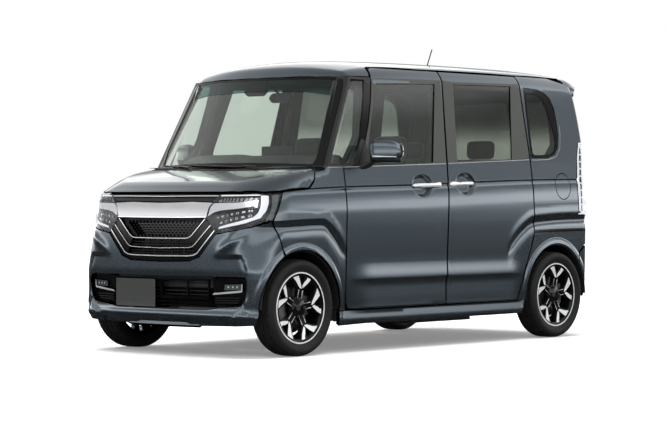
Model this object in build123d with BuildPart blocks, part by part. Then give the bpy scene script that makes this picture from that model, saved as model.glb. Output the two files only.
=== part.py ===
"""Kei car: a tall four-door wagon with sliding rear doors, as an assembly of separate pieces.

Frame: origin on the ground below the middle of the car, +Z up, -Y towards the nose,
+X towards the car's left side. All lengths are in millimetres.
"""

import math
import os

from build123d import *

os.makedirs("parts", exist_ok=True)

# ---- overall sizes ----
length = 3395
width = 1475
height = 1790
tyre_diameter = 563
tyre_width = 165
rim_diameter = 414
rim_width = 128


def along(y):
    """A station along the car, in proportion to its length."""
    return y * length / 3395


def across(x):
    """A place across the car, in proportion to its width."""
    return x * width / 1475


def up(z):
    """A height on the body, in proportion to the car's height."""
    return z * height / 1790


wheelbase = along(2520)
front_overhang = along(440)
track = across(1305)
half_length = length / 2
half_width = width / 2
nose_y = -half_length
tail_y = half_length
front_axle_y = nose_y + front_overhang
rear_axle_y = front_axle_y + wheelbase
axle_z = tyre_diameter / 2
wheel_x = track / 2

# ---- heights ----
lip_z = up(175)  # underside of the front lip and the skirts
bumper_bottom_z = up(252)  # underside of the rear bumper
door_bottom_z = up(258)
sill_crease_z = up(434)
shoulder_z = up(985)
belt_z = up(1110)
glass_top_z = up(1640)
rail_z = up(1714)  # top edge of the doors
bonnet_edge_z = up(951)
cowl_z = up(1106)
floor_z = up(205)
rear_floor_z = axle_z + 108.5  # underside, over the rear axle

# ---- gaps and walls ----
shut_gap = 6.5  # round every moving panel
fit_gap = 0.3  # between pieces that sit in or on each other
running_gap = 0.05  # radial, of a shaft in its bore
skin = 10
thin_wall = 28  # bonnet, wings and bumpers
door_wall = 95  # below the belt
frame_wall = 50  # door frames above the belt
roof_wall = 45
tailgate_wall = 70
post_wall = 30  # inner pillars, inboard of the doors
post_rear_y = tail_y - 127.5
glass_wall = 6
side_start_x = across(400)  # cuts in side view start here and leave the other side alone
rear_start_y = along(1400)  # cuts in rear view start here

# ---- fog lamps ----
fog_x = across(590)
fog_z = up(350)
fog_radius = 45

# ---- windscreen ----
screen_base_y = along(-1160)  # middle of its lower edge
screen_bow = along(130)
screen_half = across(668)
screen_top_half = across(568)
screen_rake = along(0.56) / up(1)  # rearwards per unit of height

# ---- wheel arches ----
arch_radius = tyre_diameter / 2 + 53.5
well_depth_x = wheel_x - 252.5  # inner wall of the front wells
rear_well_x = wheel_x - 132.5
liner_wall = 6

# ---- cabin ----
firewall_y = along(-960)  # its rear face
firewall = 25
cabin_half = across(590)

# ---- front door ----
door_front_y = along(-860)
door_rear_y = along(82)
door_rear_top_y = along(150)
hinge_x = half_width - 32.5
post_outer_x = half_width - door_wall - 5
hinge_y = door_front_y + 30
hinge_heights = (up(560), up(880))
hinge_pin_radius = 5
hinge_eye_radius = 11
hinge_eye_height = 30
hinge_plate = 10
door_inset = 14  # inner slab inside the outline of the skin

# ---- sliding door ----
slide_rear_y = along(996)
skirt_rear_y = along(905)

# ---- bonnet, tailgate and fuel lid ----
bonnet_hinge_y = along(-1096)
bonnet_hinge_z = up(1092)
bonnet_hinge_x = across(646)
bonnet_pin_radius = 4
tailgate_front_y = along(1488)
tailgate_hinge_y = along(1502)
tailgate_hinge_z = height - 28
tailgate_hinge_x = (-across(430), across(430))
tailgate_pin_radius = 4
hinge_reach = 32  # of the roof's hinge plates, forward of the pin
lid_y = along(1343)
lid_z = up(996)
lid_radius = 86
lid_hinge_x = half_width - 16.5
lid_hinge_y = lid_y - lid_radius + 7

exhaust_x = wheel_x - 302.5
tail_pipe_y = along(1570)

# ---- mounts ----
towing_eye_x = across(300)
towing_eye_y = nose_y + 93.5
towing_eye_z = lip_z + 37
towing_eye_radius = 13
towing_eye_plate = 14
jack_x = half_width - 137.5
jack_ys = (along(-760), along(720))
jack_pad = 70
jack_pad_z = lip_z + 4

# ---- steering ----
kingpin_x = wheel_x - 52.5
strut_x = wheel_x - 152.5
joint_pin_radius = 10
spindle_radius = 20
hub_face_x = wheel_x + 44.5
steering_wheel_x = across(-340)
steering_wheel_y = along(-600)
steering_wheel_z = up(1035)
steering_wheel_radius = 180
column_tilt = 30  # degrees from horizontal


def body_form(side, frame, roof, screen, rear, front):
    """The car's outer form, drawn in by the given walls: side below the belt, frame above it."""
    top = height - roof
    base_y = screen_base_y + screen
    start_z = cowl_z - 46
    start_y = base_y - 46 * screen_rake
    radius = (screen_half**2 + screen_bow**2) / (2 * screen_bow)
    edge = across(800)
    edge_y = start_y + radius - math.sqrt(radius**2 - edge**2)
    rise = height - start_z
    nose = nose_y + front
    tail = tail_y - rear
    with BuildPart() as form:
        with BuildSketch(Plane.XY.offset(start_z)):
            with BuildLine():
                ThreePointArc((-edge, edge_y), (0, start_y), (edge, edge_y))
                Polyline((edge, edge_y), (edge, tail_y), (-edge, tail_y), (-edge, edge_y))
            make_face()
        extrude(amount=rise * math.sqrt(1 + screen_rake**2), dir=(0, screen_rake, 1))
        with BuildSketch(Plane.YZ):
            with BuildLine():
                Line((nose, start_z), (nose, top))
                Line((nose, top), (along(-790), up(1712) - roof))
                ThreePointArc(
                    (along(-790), up(1712) - roof), (along(-620), up(1757) - roof),
                    (along(-400), up(1773) - roof),
                )
                ThreePointArc(
                    (along(-400), up(1773) - roof), (along(600), top),
                    (along(1500), up(1775) - roof),
                )
                Polyline(
                    (along(1500), up(1775) - roof),
                    (along(1612) - rear, up(1640)),
                    (along(1645) - rear, up(1560)),
                    (along(1672) - rear, up(1429)),
                    (along(1684) - rear, up(1308)),
                    (along(1692) - rear, cowl_z),
                    (along(1692) - rear, start_z),
                    (nose, start_z),
                )
            make_face()
        extrude(amount=width, both=True, mode=Mode.INTERSECT)
        with BuildSketch(Plane.YZ):
            Polygon(
                    (nose + 45, lip_z),
                    (nose + 4, up(300)),
                    (nose, up(560)),
                    (nose + 8, up(801)),
                    (nose + 20, up(903)),
                    (nose + 38, bonnet_edge_z - front),
                    (along(-1560), up(1012) - front),
                    (along(-1400), up(1052) - front),
                    (along(-1250), up(1082) - front),
                    (along(-1100), cowl_z - front),
                    (along(1692) - rear, cowl_z),
                    (tail, up(640)),
                    (tail, up(400)),
                    (tail - 28, bumper_bottom_z),
                    (tail - 120, floor_z),
                    (along(900), lip_z),
                    align=None,
            )
        extrude(amount=width, both=True)
        with BuildSketch(Plane.XZ):
            with BuildLine():
                Polyline(
                    (0, lip_z),
                    (across(705) - side, lip_z),
                    (across(722) - side, up(250)),
                    (across(730) - side, sill_crease_z),
                    (across(732) - side, up(620)),
                    (half_width - side, up(850)),
                    (across(730) - side, shoulder_z),
                    (across(722) - side, up(1005)),
                    (across(708) - (side + frame) / 2, belt_z),
                    (across(703) - frame, belt_z + 40),
                    (across(640) - frame, glass_top_z),
                    (across(612) - frame, up(1700) - roof / 3),
                    (across(560) - frame, up(1738) - roof),
                )
                ThreePointArc(
                    (across(560) - frame, up(1738) - roof), (across(300), up(1776) - roof),
                    (0, top),
                )
                Line((0, top), (0, lip_z))
            make_face()
            mirror(about=Plane.YZ)
        extrude(amount=length, both=True, mode=Mode.INTERSECT)
        with BuildSketch(Plane.XY):
            with BuildLine():
                ThreePointArc((across(-644), nose + 40), (0, nose), (across(644), nose + 40))
                ThreePointArc(
                    (across(644), nose + 40), (across(715) - side, nose + 85),
                    (half_width - side, nose + 200),
                )
                Line((half_width - side, nose + 200), (half_width - side, along(700)))
                Line((half_width - side, along(700)), (across(722) - side, tail - 170))
                ThreePointArc(
                    (across(722) - side, tail - 170), (across(700) - side, tail - 80),
                    (across(620), tail - 30),
                )
                ThreePointArc((across(620), tail - 30), (0, tail), (across(-620), tail - 30))
                ThreePointArc(
                    (across(-620), tail - 30), (side - across(700), tail - 80),
                    (side - across(722), tail - 170),
                )
                Line((side - across(722), tail - 170), (side - half_width, along(700)))
                Line((side - half_width, along(700)), (side - half_width, nose + 200))
                ThreePointArc(
                    (side - half_width, nose + 200), (side - across(715), nose + 85),
                    (across(-644), nose + 40),
                )
            make_face()
        extrude(amount=height, mode=Mode.INTERSECT)
    return form.part


def save(piece, name):
    """Label a finished piece and write it."""
    piece.part.label = name
    export_step(piece.part, f"parts/{name}.step")


def mirrored(piece):
    """The same piece on the other side of the car."""
    with BuildPart() as other:
        mirror(piece.part, about=Plane.YZ)
    return other


outer_form = body_form(0, 0, 0, 0, 0, 0)
glass_form = body_form(glass_wall, glass_wall, glass_wall, glass_wall, glass_wall, glass_wall)
skin_form = body_form(skin, skin, skin, skin, skin, skin)
thin_form = body_form(thin_wall, thin_wall, thin_wall, thin_wall, thin_wall, thin_wall)
cabin_form = body_form(door_wall, frame_wall, roof_wall, frame_wall, tailgate_wall, thin_wall)
post_outer = body_form(
    door_wall + 5, frame_wall + 5, roof_wall + fit_gap, frame_wall + 5, tailgate_wall + 5, thin_wall
)
post_inner = body_form(
    door_wall + 5 + post_wall,
    frame_wall + 5 + post_wall,
    roof_wall + post_wall,
    frame_wall + 5,
    tailgate_wall + 5,
    thin_wall,
)
glass_shell = outer_form - glass_form
skin_shell = outer_form - skin_form
thin_shell = outer_form - thin_form
door_shell = outer_form - cabin_form
post_shell = post_outer - post_inner

# ---- wheel wells, cut from whatever they meet ----
with BuildPart() as wells:
    for well_y, well_x in ((front_axle_y, well_depth_x), (rear_axle_y, rear_well_x)):
        with BuildSketch(Plane.YZ.offset(well_x)):
            with Locations((well_y, axle_z)):
                Circle(arch_radius)
        extrude(amount=width - well_x)
    mirror(about=Plane.YZ)

# ---- outlines in side view, as (y, z) ----
front_door_outline = [
    (door_front_y, up(300)),
    (door_front_y + 24, door_bottom_z + 4),
    (door_rear_y, door_bottom_z),
    (along(88), up(459)),
    (along(100), up(888)),
    (along(117), up(1128)),
    (door_rear_top_y, up(1658)),
    (door_rear_top_y + 2, rail_z),
    (along(-470), rail_z),
    (along(-505), up(1700)),
    (along(-530), up(1648)),
    (along(-599), up(1362)),
    (along(-641), up(1264)),
    (along(-725), up(1101)),
    (door_front_y, up(1097)),
]
front_window = [
    (along(-664), up(1110)), (along(-18), up(1137)), (along(75), up(1629)),
    (along(-488), up(1608)), (along(-560), up(1300)),
]
slide_door_outline = [
    (door_rear_y + shut_gap, door_bottom_z),
    (along(802), door_bottom_z),
    (along(843), up(280)),
    (along(902), up(434)),
    (along(1004), up(674)),
    (along(997), up(887)),
    (slide_rear_y, up(1173)),
    (along(967), up(1661)),
    (along(962), rail_z),
    (door_rear_top_y + 2 + 9, rail_z),
    (door_rear_top_y + 9, up(1658)),
    (along(117) + 8, up(1128)),
    (along(100) + 7, up(888)),
    (along(88) + shut_gap, up(459)),
]
slide_window = [
    (along(226), up(1148)), (along(795), up(1170)), (along(864), up(1644)),
    (along(263), up(1634)),
]
front_quarter_window = [
    (along(-985), up(1116)), (along(-790), up(1118)), (along(-668), up(1290)),
    (along(-596), up(1630)), (along(-725), up(1630)),
]
rear_quarter_window = [
    (along(1030), up(1170)), (along(1274), up(1180)), (along(1360), up(1272)),
    (along(1350), up(1480)), (along(1272), up(1615)), (along(1024), up(1645)),
]
bonnet_outline = [
    (nose_y - 30, bonnet_edge_z),
    (along(-1600), bonnet_edge_z),
    (along(-1439), up(958)),
    (along(-1192), up(973)),
    (along(-1139), up(1020)),
    (along(-1106), up(1091)),
    (along(-1106), up(1200)),
    (nose_y - 30, up(1200)),
]
fender_outline = [
    (along(-1418), up(617)),
    (along(-1507), up(787)),
    (along(-1495), bonnet_edge_z - 6),
    (along(-1439), up(958) - shut_gap),
    (along(-1192), up(973) - shut_gap),
    (along(-1139) + shut_gap, up(1020) - 2),
    (along(-1106) + shut_gap, up(1091)),
    (along(-1090), up(1103)),
    (door_front_y - shut_gap, up(1103)),
    (door_front_y - shut_gap, up(252)),
    (along(-930), up(252)),
    (along(-930), up(300)),
]
bumper_outline = [
    (nose_y - 30, lip_z - 20),
    (along(-1560), lip_z - 20),
    (along(-1300), up(400)),
    (along(-1418), up(617)),
    (along(-1507), up(787)),
    (along(-1495), bonnet_edge_z - 6),
    (nose_y - 30, bonnet_edge_z - 6),
]
rear_bumper_outline = [
    (along(1500), bumper_bottom_z - 60),
    (tail_y + 30, bumper_bottom_z - 60),
    (tail_y + 30, up(585)),
    (along(1600), up(600)),
    (along(1500), up(680)),
]
roof_outline = [
    (along(-1000), height + 20),
    (along(-1000), glass_top_z + 6),
    (along(-538), glass_top_z + 6),
    (along(-512), up(1706)),
    (along(-474), rail_z + shut_gap),
    (tail_y + 30, rail_z + shut_gap),
    (tail_y + 30, height + 20),
]
quarter_outline = [
    (skirt_rear_y + fit_gap, lip_z),
    (skirt_rear_y + fit_gap, up(252)),
    (along(802) + fit_gap, up(252)),
    (along(802) + fit_gap, door_bottom_z - fit_gap),
    (along(843) + fit_gap, up(280)),
    (along(902) + fit_gap, up(434)),
    (along(1004) + fit_gap, up(674)),
    (along(997) + fit_gap, up(887)),
    (slide_rear_y + fit_gap, up(1173)),
    (along(967) + fit_gap, up(1661)),
    (along(962) + fit_gap, rail_z + shut_gap - fit_gap),
    (tail_y + 30, rail_z + shut_gap - fit_gap),
    (tail_y + 30, up(585) + fit_gap),
    (along(1600), up(600) + fit_gap),
    (along(1500), up(680) + fit_gap),
    (along(1500), lip_z),
]

# ---- outlines in front or rear view, as (x, z) for the left half ----
screen_outline = [
    (0, up(1090)), (screen_half, up(1090)), (screen_half, cowl_z),
    (screen_top_half, glass_top_z + 6), (0, glass_top_z + 6),
]
headlamp_outline = [
    (across(350), up(899)), (across(443), up(944.5)), (across(760), up(944.5)),
    (across(760), up(783)), (across(700), up(781)), (across(392), up(731)),
    (across(352), up(800)),
]
grille_outline = [
    (0, up(903)), (across(345), up(896)), (across(347), up(800)), (across(300), up(620)),
    (across(271), up(585)), (0, up(583)),
]
intake_outline = [
    (0, up(479)), (across(600), up(475)), (across(644), up(465)), (across(628), up(260)),
    (across(560), up(215)), (0, up(215)),
]
tailgate_outline = [
    (0, up(596)),
    (across(545), up(596)),
    (across(585), up(700)),
    (across(598), up(947)),
    (across(606), up(1200)),
    (across(600), up(1308)),
    (across(572), up(1560)),
    (across(560), up(1640)),
    (across(560), height + 20),
    (0, height + 20),
]
tailgate_window = [
    (0, up(1150)), (across(520), up(1150)), (across(545), up(1190)), (across(520), up(1560)),
    (across(480), up(1600)), (0, up(1610)),
]
tail_lamp_outline = [
    (across(618.5), up(947)), (across(760), up(947)), (across(760), up(1190)),
    (across(618.5), up(1190)),
]

tailgate_side = [
    (tailgate_front_y, height + 20),
    (tailgate_front_y, up(1690)),
    (along(1560), up(1600)),
    (along(1575), up(1200)),
    (along(1575), up(596)),
    (tail_y + 30, up(596)),
    (tail_y + 30, height + 20),
]

# ---- the space that the tailgate takes, with its gap ----
with BuildPart() as tailgate_space:
    with BuildSketch(Plane.XZ):
        Polygon(*tailgate_outline, align=None)
        mirror(about=Plane.YZ)
        offset(amount=shut_gap, kind=Kind.INTERSECTION)
    extrude(amount=-length)
    with BuildSketch(Plane.YZ):
        Polygon(*tailgate_side, align=None)
        offset(amount=shut_gap, kind=Kind.INTERSECTION)
    extrude(amount=width, both=True, mode=Mode.INTERSECT)

# ---- floor, sills and firewall ----
sill_x = half_width - thin_wall - 12
with BuildPart() as floor_pan:
    with BuildSketch(Plane.YZ):
        Polygon(
            (firewall_y - firewall, up(1030)),
            (firewall_y, up(1030)),
            (firewall_y, up(360)),
            (along(-860), up(245)),
            (along(760), up(245)),
            (along(860), rear_floor_z + 40),
            (along(1610), rear_floor_z + 60),
            (along(1610), rear_floor_z + 20),
            (along(900), rear_floor_z),
            (along(800), floor_z),
            (along(-880), floor_z),
            (firewall_y - firewall, up(330)),
            align=None,
        )
    extrude(amount=rear_well_x - 10, both=True)
    with BuildSketch(Plane.YZ.offset(rear_well_x - 10)):
        Polygon(
            (along(-905), up(190)),
            (along(905), up(190)),
            (along(905), up(250)),
            (along(760), up(250)),
            (along(-860), up(250)),
            (along(-905), up(250)),
            align=None,
        )
    extrude(amount=sill_x - rear_well_x + 10)
    for jack_y in jack_ys:
        with Locations((jack_x, jack_y, (jack_pad_z + up(195)) / 2)):
            Box(jack_pad, jack_pad, up(195) - jack_pad_z)
    mirror(about=Plane.YZ)
    with Locations((0, firewall_y - firewall / 2, up(700))):
        Box(2 * cabin_half, firewall, up(660))
    add(wells.part, mode=Mode.SUBTRACT)
save(floor_pan, "floor_pan")

# ---- inner frame: posts, rails and door openings, with the windscreen pillars ----
with BuildPart() as body_frame:
    add(post_shell)
    with BuildSketch(Plane.YZ):
        Polygon(
            (along(-985), up(250.3)), (along(-985), up(1103)), (along(-1200), up(1103)),
            (along(-700), up(1800)), (post_rear_y, up(1800)), (post_rear_y, up(250.3)),
            align=None,
        )
    extrude(amount=width, both=True, mode=Mode.INTERSECT)
    with Locations((0, 0, height / 2)):
        Box(2 * across(552), 2 * length, 2 * height, mode=Mode.SUBTRACT)
    with BuildSketch(Plane.YZ):
        Polygon(
            (along(-800), up(330)), (along(50), up(330)), (along(60), up(888)),
            (along(75), up(1128)), (along(105), up(1650)), (along(-460), up(1650)),
            (along(-640), up(1128)), align=None,
        )
        Polygon(
            (along(150), up(330)), (along(800), up(330)), (along(935), up(700)),
            (along(940), up(1128)), (along(905), up(1650)), (along(190), up(1650)),
            (along(165), up(1128)), align=None,
        )
        Polygon(*front_quarter_window, align=None)
        Polygon(*rear_quarter_window, align=None)
    extrude(amount=width, both=True, mode=Mode.SUBTRACT)
    for pin_z in hinge_heights:
        for low in (-hinge_eye_height / 2 - 0.5 - hinge_plate, hinge_eye_height / 2 + 0.5):
            with BuildSketch(Plane.XY.offset(pin_z + low)):
                Polygon(
                    (hinge_x, hinge_y + 8),
                    (post_outer_x - 7.5, hinge_y + 8),
                    (post_outer_x - 7.5, hinge_y - 26),
                    (hinge_x, hinge_y - 8),
                    align=None,
                )
                with Locations((hinge_x, hinge_y)):
                    Circle(8)
                mirror(about=Plane.YZ)
            extrude(amount=hinge_plate)
        with Locations((hinge_x, hinge_y, pin_z), (-hinge_x, hinge_y, pin_z)):
            Cylinder(hinge_pin_radius, hinge_eye_height + 2 * hinge_plate + 1)
    add(wells.part, mode=Mode.SUBTRACT)
save(body_frame, "body_frame")

# ---- windscreen pillars ----
with BuildPart() as screen_pillars:
    add(door_shell)
    with BuildSketch(Plane.YZ):
        Polygon(
            (along(-1080), up(1103)),
            (along(-732), up(1103)),
            (along(-648), up(1268)),
            (along(-606), up(1364)),
            (along(-538), glass_top_z + 6 - fit_gap),
            (along(-1000), glass_top_z + 6 - fit_gap),
            (along(-1080), up(1200)),
            align=None,
        )
    extrude(amount=width, both=True, mode=Mode.INTERSECT)
    with BuildSketch(Plane.YZ):
        Polygon(*front_quarter_window, align=None)
    extrude(amount=width, both=True, mode=Mode.SUBTRACT)
    with BuildSketch(Plane.XZ):
        Polygon(*screen_outline, align=None)
        mirror(about=Plane.YZ)
    extrude(amount=length, both=True, mode=Mode.SUBTRACT)
save(screen_pillars, "screen_pillars")

with BuildPart() as roof:
    add(door_shell)
    with BuildSketch(Plane.YZ):
        Polygon(*roof_outline, align=None)
    extrude(amount=width, both=True, mode=Mode.INTERSECT)
    add(tailgate_space.part, mode=Mode.SUBTRACT)
    for hinge_pos in tailgate_hinge_x:
        with Locations((hinge_pos, tailgate_hinge_y - hinge_reach / 2, tailgate_hinge_z)):
            Box(8, hinge_reach, 13)
        with Locations((hinge_pos, tailgate_hinge_y, tailgate_hinge_z)):
            Cylinder(6.5, 8, rotation=(0, 90, 0))
            Cylinder(tailgate_pin_radius, 48, rotation=(0, 90, 0))
save(roof, "roof")

# ---- glass ----
with BuildPart() as windscreen:
    add(glass_shell)
    with BuildSketch(Plane.XZ):
        Polygon(
            (0, cowl_z + fit_gap),
            (screen_half - fit_gap, cowl_z + fit_gap),
            (screen_top_half - fit_gap, glass_top_z + 6 - fit_gap),
            (0, glass_top_z + 6 - fit_gap),
            align=None,
        )
        mirror(about=Plane.YZ)
    extrude(amount=length, mode=Mode.INTERSECT)
    with Locations((0, nose_y, height / 2)):
        Box(width, 2 * (half_length - along(600)), 2 * height, mode=Mode.INTERSECT)
save(windscreen, "windscreen")

with BuildPart() as side_glass:
    for outline in (front_quarter_window, slide_window, rear_quarter_window):
        with BuildSketch(Plane.YZ.offset(side_start_x)):
            Polygon(*outline, align=None)
            offset(amount=-fit_gap, kind=Kind.INTERSECTION)
        extrude(amount=width / 2)
    add(glass_shell, mode=Mode.INTERSECT)
    mirror(about=Plane.YZ)
save(side_glass, "side_glass")

# ---- bonnet ----
with BuildPart() as cowl_edge:
    with BuildSketch(Plane.XY.offset(up(900))):
        with BuildLine():
            ThreePointArc((across(-800), along(-1043)), (0, along(-1228)), (across(800), along(-1043)))
            Polyline(
                (across(800), along(-1043)), (across(800), along(-600)),
                (across(-800), along(-600)), (across(-800), along(-1043)),
            )
        make_face()
    extrude(amount=400)
with BuildPart() as bonnet:
    add(thin_shell)
    with BuildSketch(Plane.YZ):
        Polygon(*bonnet_outline, align=None)
    extrude(amount=width, both=True, mode=Mode.INTERSECT)
    add(cowl_edge.part, mode=Mode.SUBTRACT)
    for side in (-1, 1):
        with Locations((side * bonnet_hinge_x, bonnet_hinge_y - 16, bonnet_hinge_z)):
            Box(8, 32, 16)
        with Locations((side * bonnet_hinge_x, bonnet_hinge_y, bonnet_hinge_z)):
            Cylinder(8, 8, rotation=(0, 90, 0))
            Cylinder(bonnet_pin_radius + running_gap, 20, rotation=(0, 90, 0), mode=Mode.SUBTRACT)
save(bonnet, "bonnet")

# ---- wings and bumpers ----
with BuildPart() as door_swing:
    with BuildSketch(Plane.XY.offset(door_bottom_z - 20)):
        with Locations((hinge_x, hinge_y)):
            Circle(math.hypot(half_width - hinge_x, hinge_y - door_front_y) + 5)
    extrude(amount=belt_z - door_bottom_z + 20)
    mirror(about=Plane.YZ)

with BuildPart() as front_fenders:
    add(thin_shell)
    with BuildSketch(Plane.YZ):
        Polygon(*fender_outline, align=None)
    extrude(amount=width, both=True, mode=Mode.INTERSECT)
    with Locations((0, along(-800), up(1250))):
        Box(2 * (screen_half + fit_gap), 2000, 700, mode=Mode.SUBTRACT)
    with Locations((half_width - 79.5, along(-915), up(640)), (79.5 - half_width, along(-915), up(640))):
        Box(40, 24, up(600))
    with Locations((half_width - 49.5, along(-915), up(640)), (49.5 - half_width, along(-915), up(640))):
        Box(52, 24, up(560))
    for side in (-1, 1):
        with Locations((side * (bonnet_hinge_x + 30), bonnet_hinge_y + 4, bonnet_hinge_z - 4)):
            Box(28, 16, 20)
        with Locations((side * (bonnet_hinge_x + 8), bonnet_hinge_y, bonnet_hinge_z)):
            Cylinder(bonnet_pin_radius, 28, rotation=(0, 90, 0))
    add(wells.part, mode=Mode.SUBTRACT)
    add(door_swing.part, mode=Mode.SUBTRACT)
save(front_fenders, "front_fenders")

with BuildPart() as front_bumper:
    add(thin_shell)
    with BuildSketch(Plane.YZ):
        Polygon(*bumper_outline, align=None)
    extrude(amount=width, both=True, mode=Mode.INTERSECT)
    with BuildSketch(Plane.XZ):
        for outline in (headlamp_outline, grille_outline, intake_outline):
            Polygon(*outline, align=None)
        mirror(about=Plane.YZ)
    extrude(amount=length, mode=Mode.SUBTRACT)
    add(wells.part, mode=Mode.SUBTRACT)
save(front_bumper, "front_bumper")

with BuildPart() as front_lamps:
    add(thin_shell)
    with BuildSketch(Plane.XZ):
        Polygon(*headlamp_outline, align=None)
        offset(amount=-fit_gap, kind=Kind.INTERSECTION)
        mirror(about=Plane.YZ)
    extrude(amount=length, mode=Mode.INTERSECT)
    with BuildSketch(Plane.YZ):
        Polygon(
            (nose_y - 30, up(700)),
            (along(-1507) - fit_gap, up(787)),
            (along(-1495) - fit_gap, bonnet_edge_z - 6),
            (nose_y - 30, bonnet_edge_z - 6),
            align=None,
        )
    extrude(amount=width, both=True, mode=Mode.INTERSECT)
    with BuildSketch(Plane.XZ.offset(-nose_y - 60)):
        with Locations((fog_x, fog_z), (-fog_x, fog_z)):
            Circle(fog_radius - fit_gap)
    extrude(amount=24)
save(front_lamps, "front_lamps")

with BuildPart() as grille:
    add(thin_shell)
    with BuildSketch(Plane.XZ):
        for outline in (grille_outline, intake_outline):
            Polygon(*outline, align=None)
        mirror(about=Plane.YZ)
        offset(amount=-fit_gap, kind=Kind.INTERSECTION)
        with Locations((fog_x, fog_z), (-fog_x, fog_z)):
            Circle(fog_radius, mode=Mode.SUBTRACT)
    extrude(amount=length, mode=Mode.INTERSECT)
save(grille, "grille")

with BuildPart() as cowl:
    add(thin_shell)
    with Locations((0, along(-1110), cowl_z - 36.15)):
        Box(2 * screen_half, along(300), 72, mode=Mode.INTERSECT)
    add(cowl_edge.part.moved(Location((0, shut_gap, 0))), mode=Mode.INTERSECT)
    for side in (-1, 1):
        with Locations((side * (bonnet_hinge_x + 20), bonnet_hinge_y, bonnet_hinge_z)):
            Box(62, 36, 200, mode=Mode.SUBTRACT)
save(cowl, "cowl")

# ---- rear bumper, quarters and lamps ----
with BuildPart() as rear_bumper:
    add(thin_shell)
    with BuildSketch(Plane.YZ):
        Polygon(*rear_bumper_outline, align=None)
    extrude(amount=width, both=True, mode=Mode.INTERSECT)
    add(wells.part, mode=Mode.SUBTRACT)
    with Locations((-exhaust_x, tail_pipe_y, rear_floor_z - 158)):
        Cylinder(34, 400, rotation=(90, 0, 0), mode=Mode.SUBTRACT)
save(rear_bumper, "rear_bumper")

with BuildPart() as quarter_panels:
    add(door_shell)
    with BuildSketch(Plane.YZ):
        Polygon(*quarter_outline, align=None)
    extrude(amount=width, both=True, mode=Mode.INTERSECT)
    with BuildSketch(Plane.YZ):
        Polygon(*rear_quarter_window, align=None)
    extrude(amount=width, both=True, mode=Mode.SUBTRACT)
    add(tailgate_space.part, mode=Mode.SUBTRACT)
    with Locations((0, along(1300), up(900))):
        Box(2 * across(530), along(1200), up(1800), mode=Mode.SUBTRACT)
    with BuildSketch(Plane.XZ.offset(-along(1570))):
        Polygon(*tail_lamp_outline, align=None)
        mirror(about=Plane.YZ)
    extrude(amount=-400, mode=Mode.SUBTRACT)
    with BuildSketch(Plane.YZ.offset(half_width - door_wall + 20)):
        with Locations((lid_y, lid_z)):
            Circle(lid_radius + shut_gap)
    extrude(amount=200, mode=Mode.SUBTRACT)
    with Locations((lid_hinge_x, lid_hinge_y, lid_z)):
        Cylinder(13, 130, mode=Mode.SUBTRACT)
    with Locations((lid_hinge_x, lid_hinge_y - 6, lid_z + 15), (lid_hinge_x, lid_hinge_y - 6, lid_z - 15)):
        Box(7, 24, 4)
    with Locations((lid_hinge_x, lid_hinge_y, lid_z)):
        Cylinder(2, 34)
    add(wells.part, mode=Mode.SUBTRACT)
save(quarter_panels, "quarter_panels")

with BuildPart() as tail_lamps:
    add(door_shell)
    with BuildSketch(Plane.XZ.offset(-along(1570) - fit_gap)):
        Polygon(*tail_lamp_outline, align=None)
        offset(amount=-fit_gap, kind=Kind.INTERSECTION)
        mirror(about=Plane.YZ)
    extrude(amount=-400, mode=Mode.INTERSECT)
save(tail_lamps, "tail_lamps")

# ---- tailgate with its spoiler ----
with BuildPart() as tailgate:
    add(door_shell)
    with BuildSketch(Plane.XZ):
        Polygon(*tailgate_outline, align=None)
        mirror(about=Plane.YZ)
    extrude(amount=-length, mode=Mode.INTERSECT)
    with BuildSketch(Plane.YZ):
        Polygon(*tailgate_side, align=None)
    extrude(amount=width, both=True, mode=Mode.INTERSECT)
    with BuildSketch(Plane.XZ.offset(-rear_start_y)):
        Polygon(*tailgate_window, align=None)
        mirror(about=Plane.YZ)
    extrude(amount=-400, mode=Mode.SUBTRACT)
    with BuildSketch(Plane.YZ):
        Polygon(
            (along(1560), up(1680)), (along(1560), up(1768)), (along(1690), up(1735)),
            (along(1697), up(1690)), (along(1640), up(1660)), align=None,
        )
    extrude(amount=540, both=True)
    for hinge_pos in tailgate_hinge_x:
        with Locations((hinge_pos, tailgate_hinge_y, tailgate_hinge_z)):
            Cylinder(tailgate_pin_radius + running_gap, 48.6, rotation=(0, 90, 0), mode=Mode.SUBTRACT)
            Cylinder(12, 16, rotation=(0, 90, 0), mode=Mode.SUBTRACT)
        with Locations((hinge_pos, tailgate_hinge_y - 10, tailgate_hinge_z + 10)):
            Box(16, 34, 34, mode=Mode.SUBTRACT)
save(tailgate, "tailgate")

with BuildPart() as tailgate_glass:
    add(glass_shell)
    with BuildSketch(Plane.XZ.offset(-rear_start_y)):
        Polygon(*tailgate_window, align=None)
        mirror(about=Plane.YZ)
        offset(amount=-fit_gap, kind=Kind.INTERSECTION)
    extrude(amount=-400, mode=Mode.INTERSECT)
save(tailgate_glass, "tailgate_glass")

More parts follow.
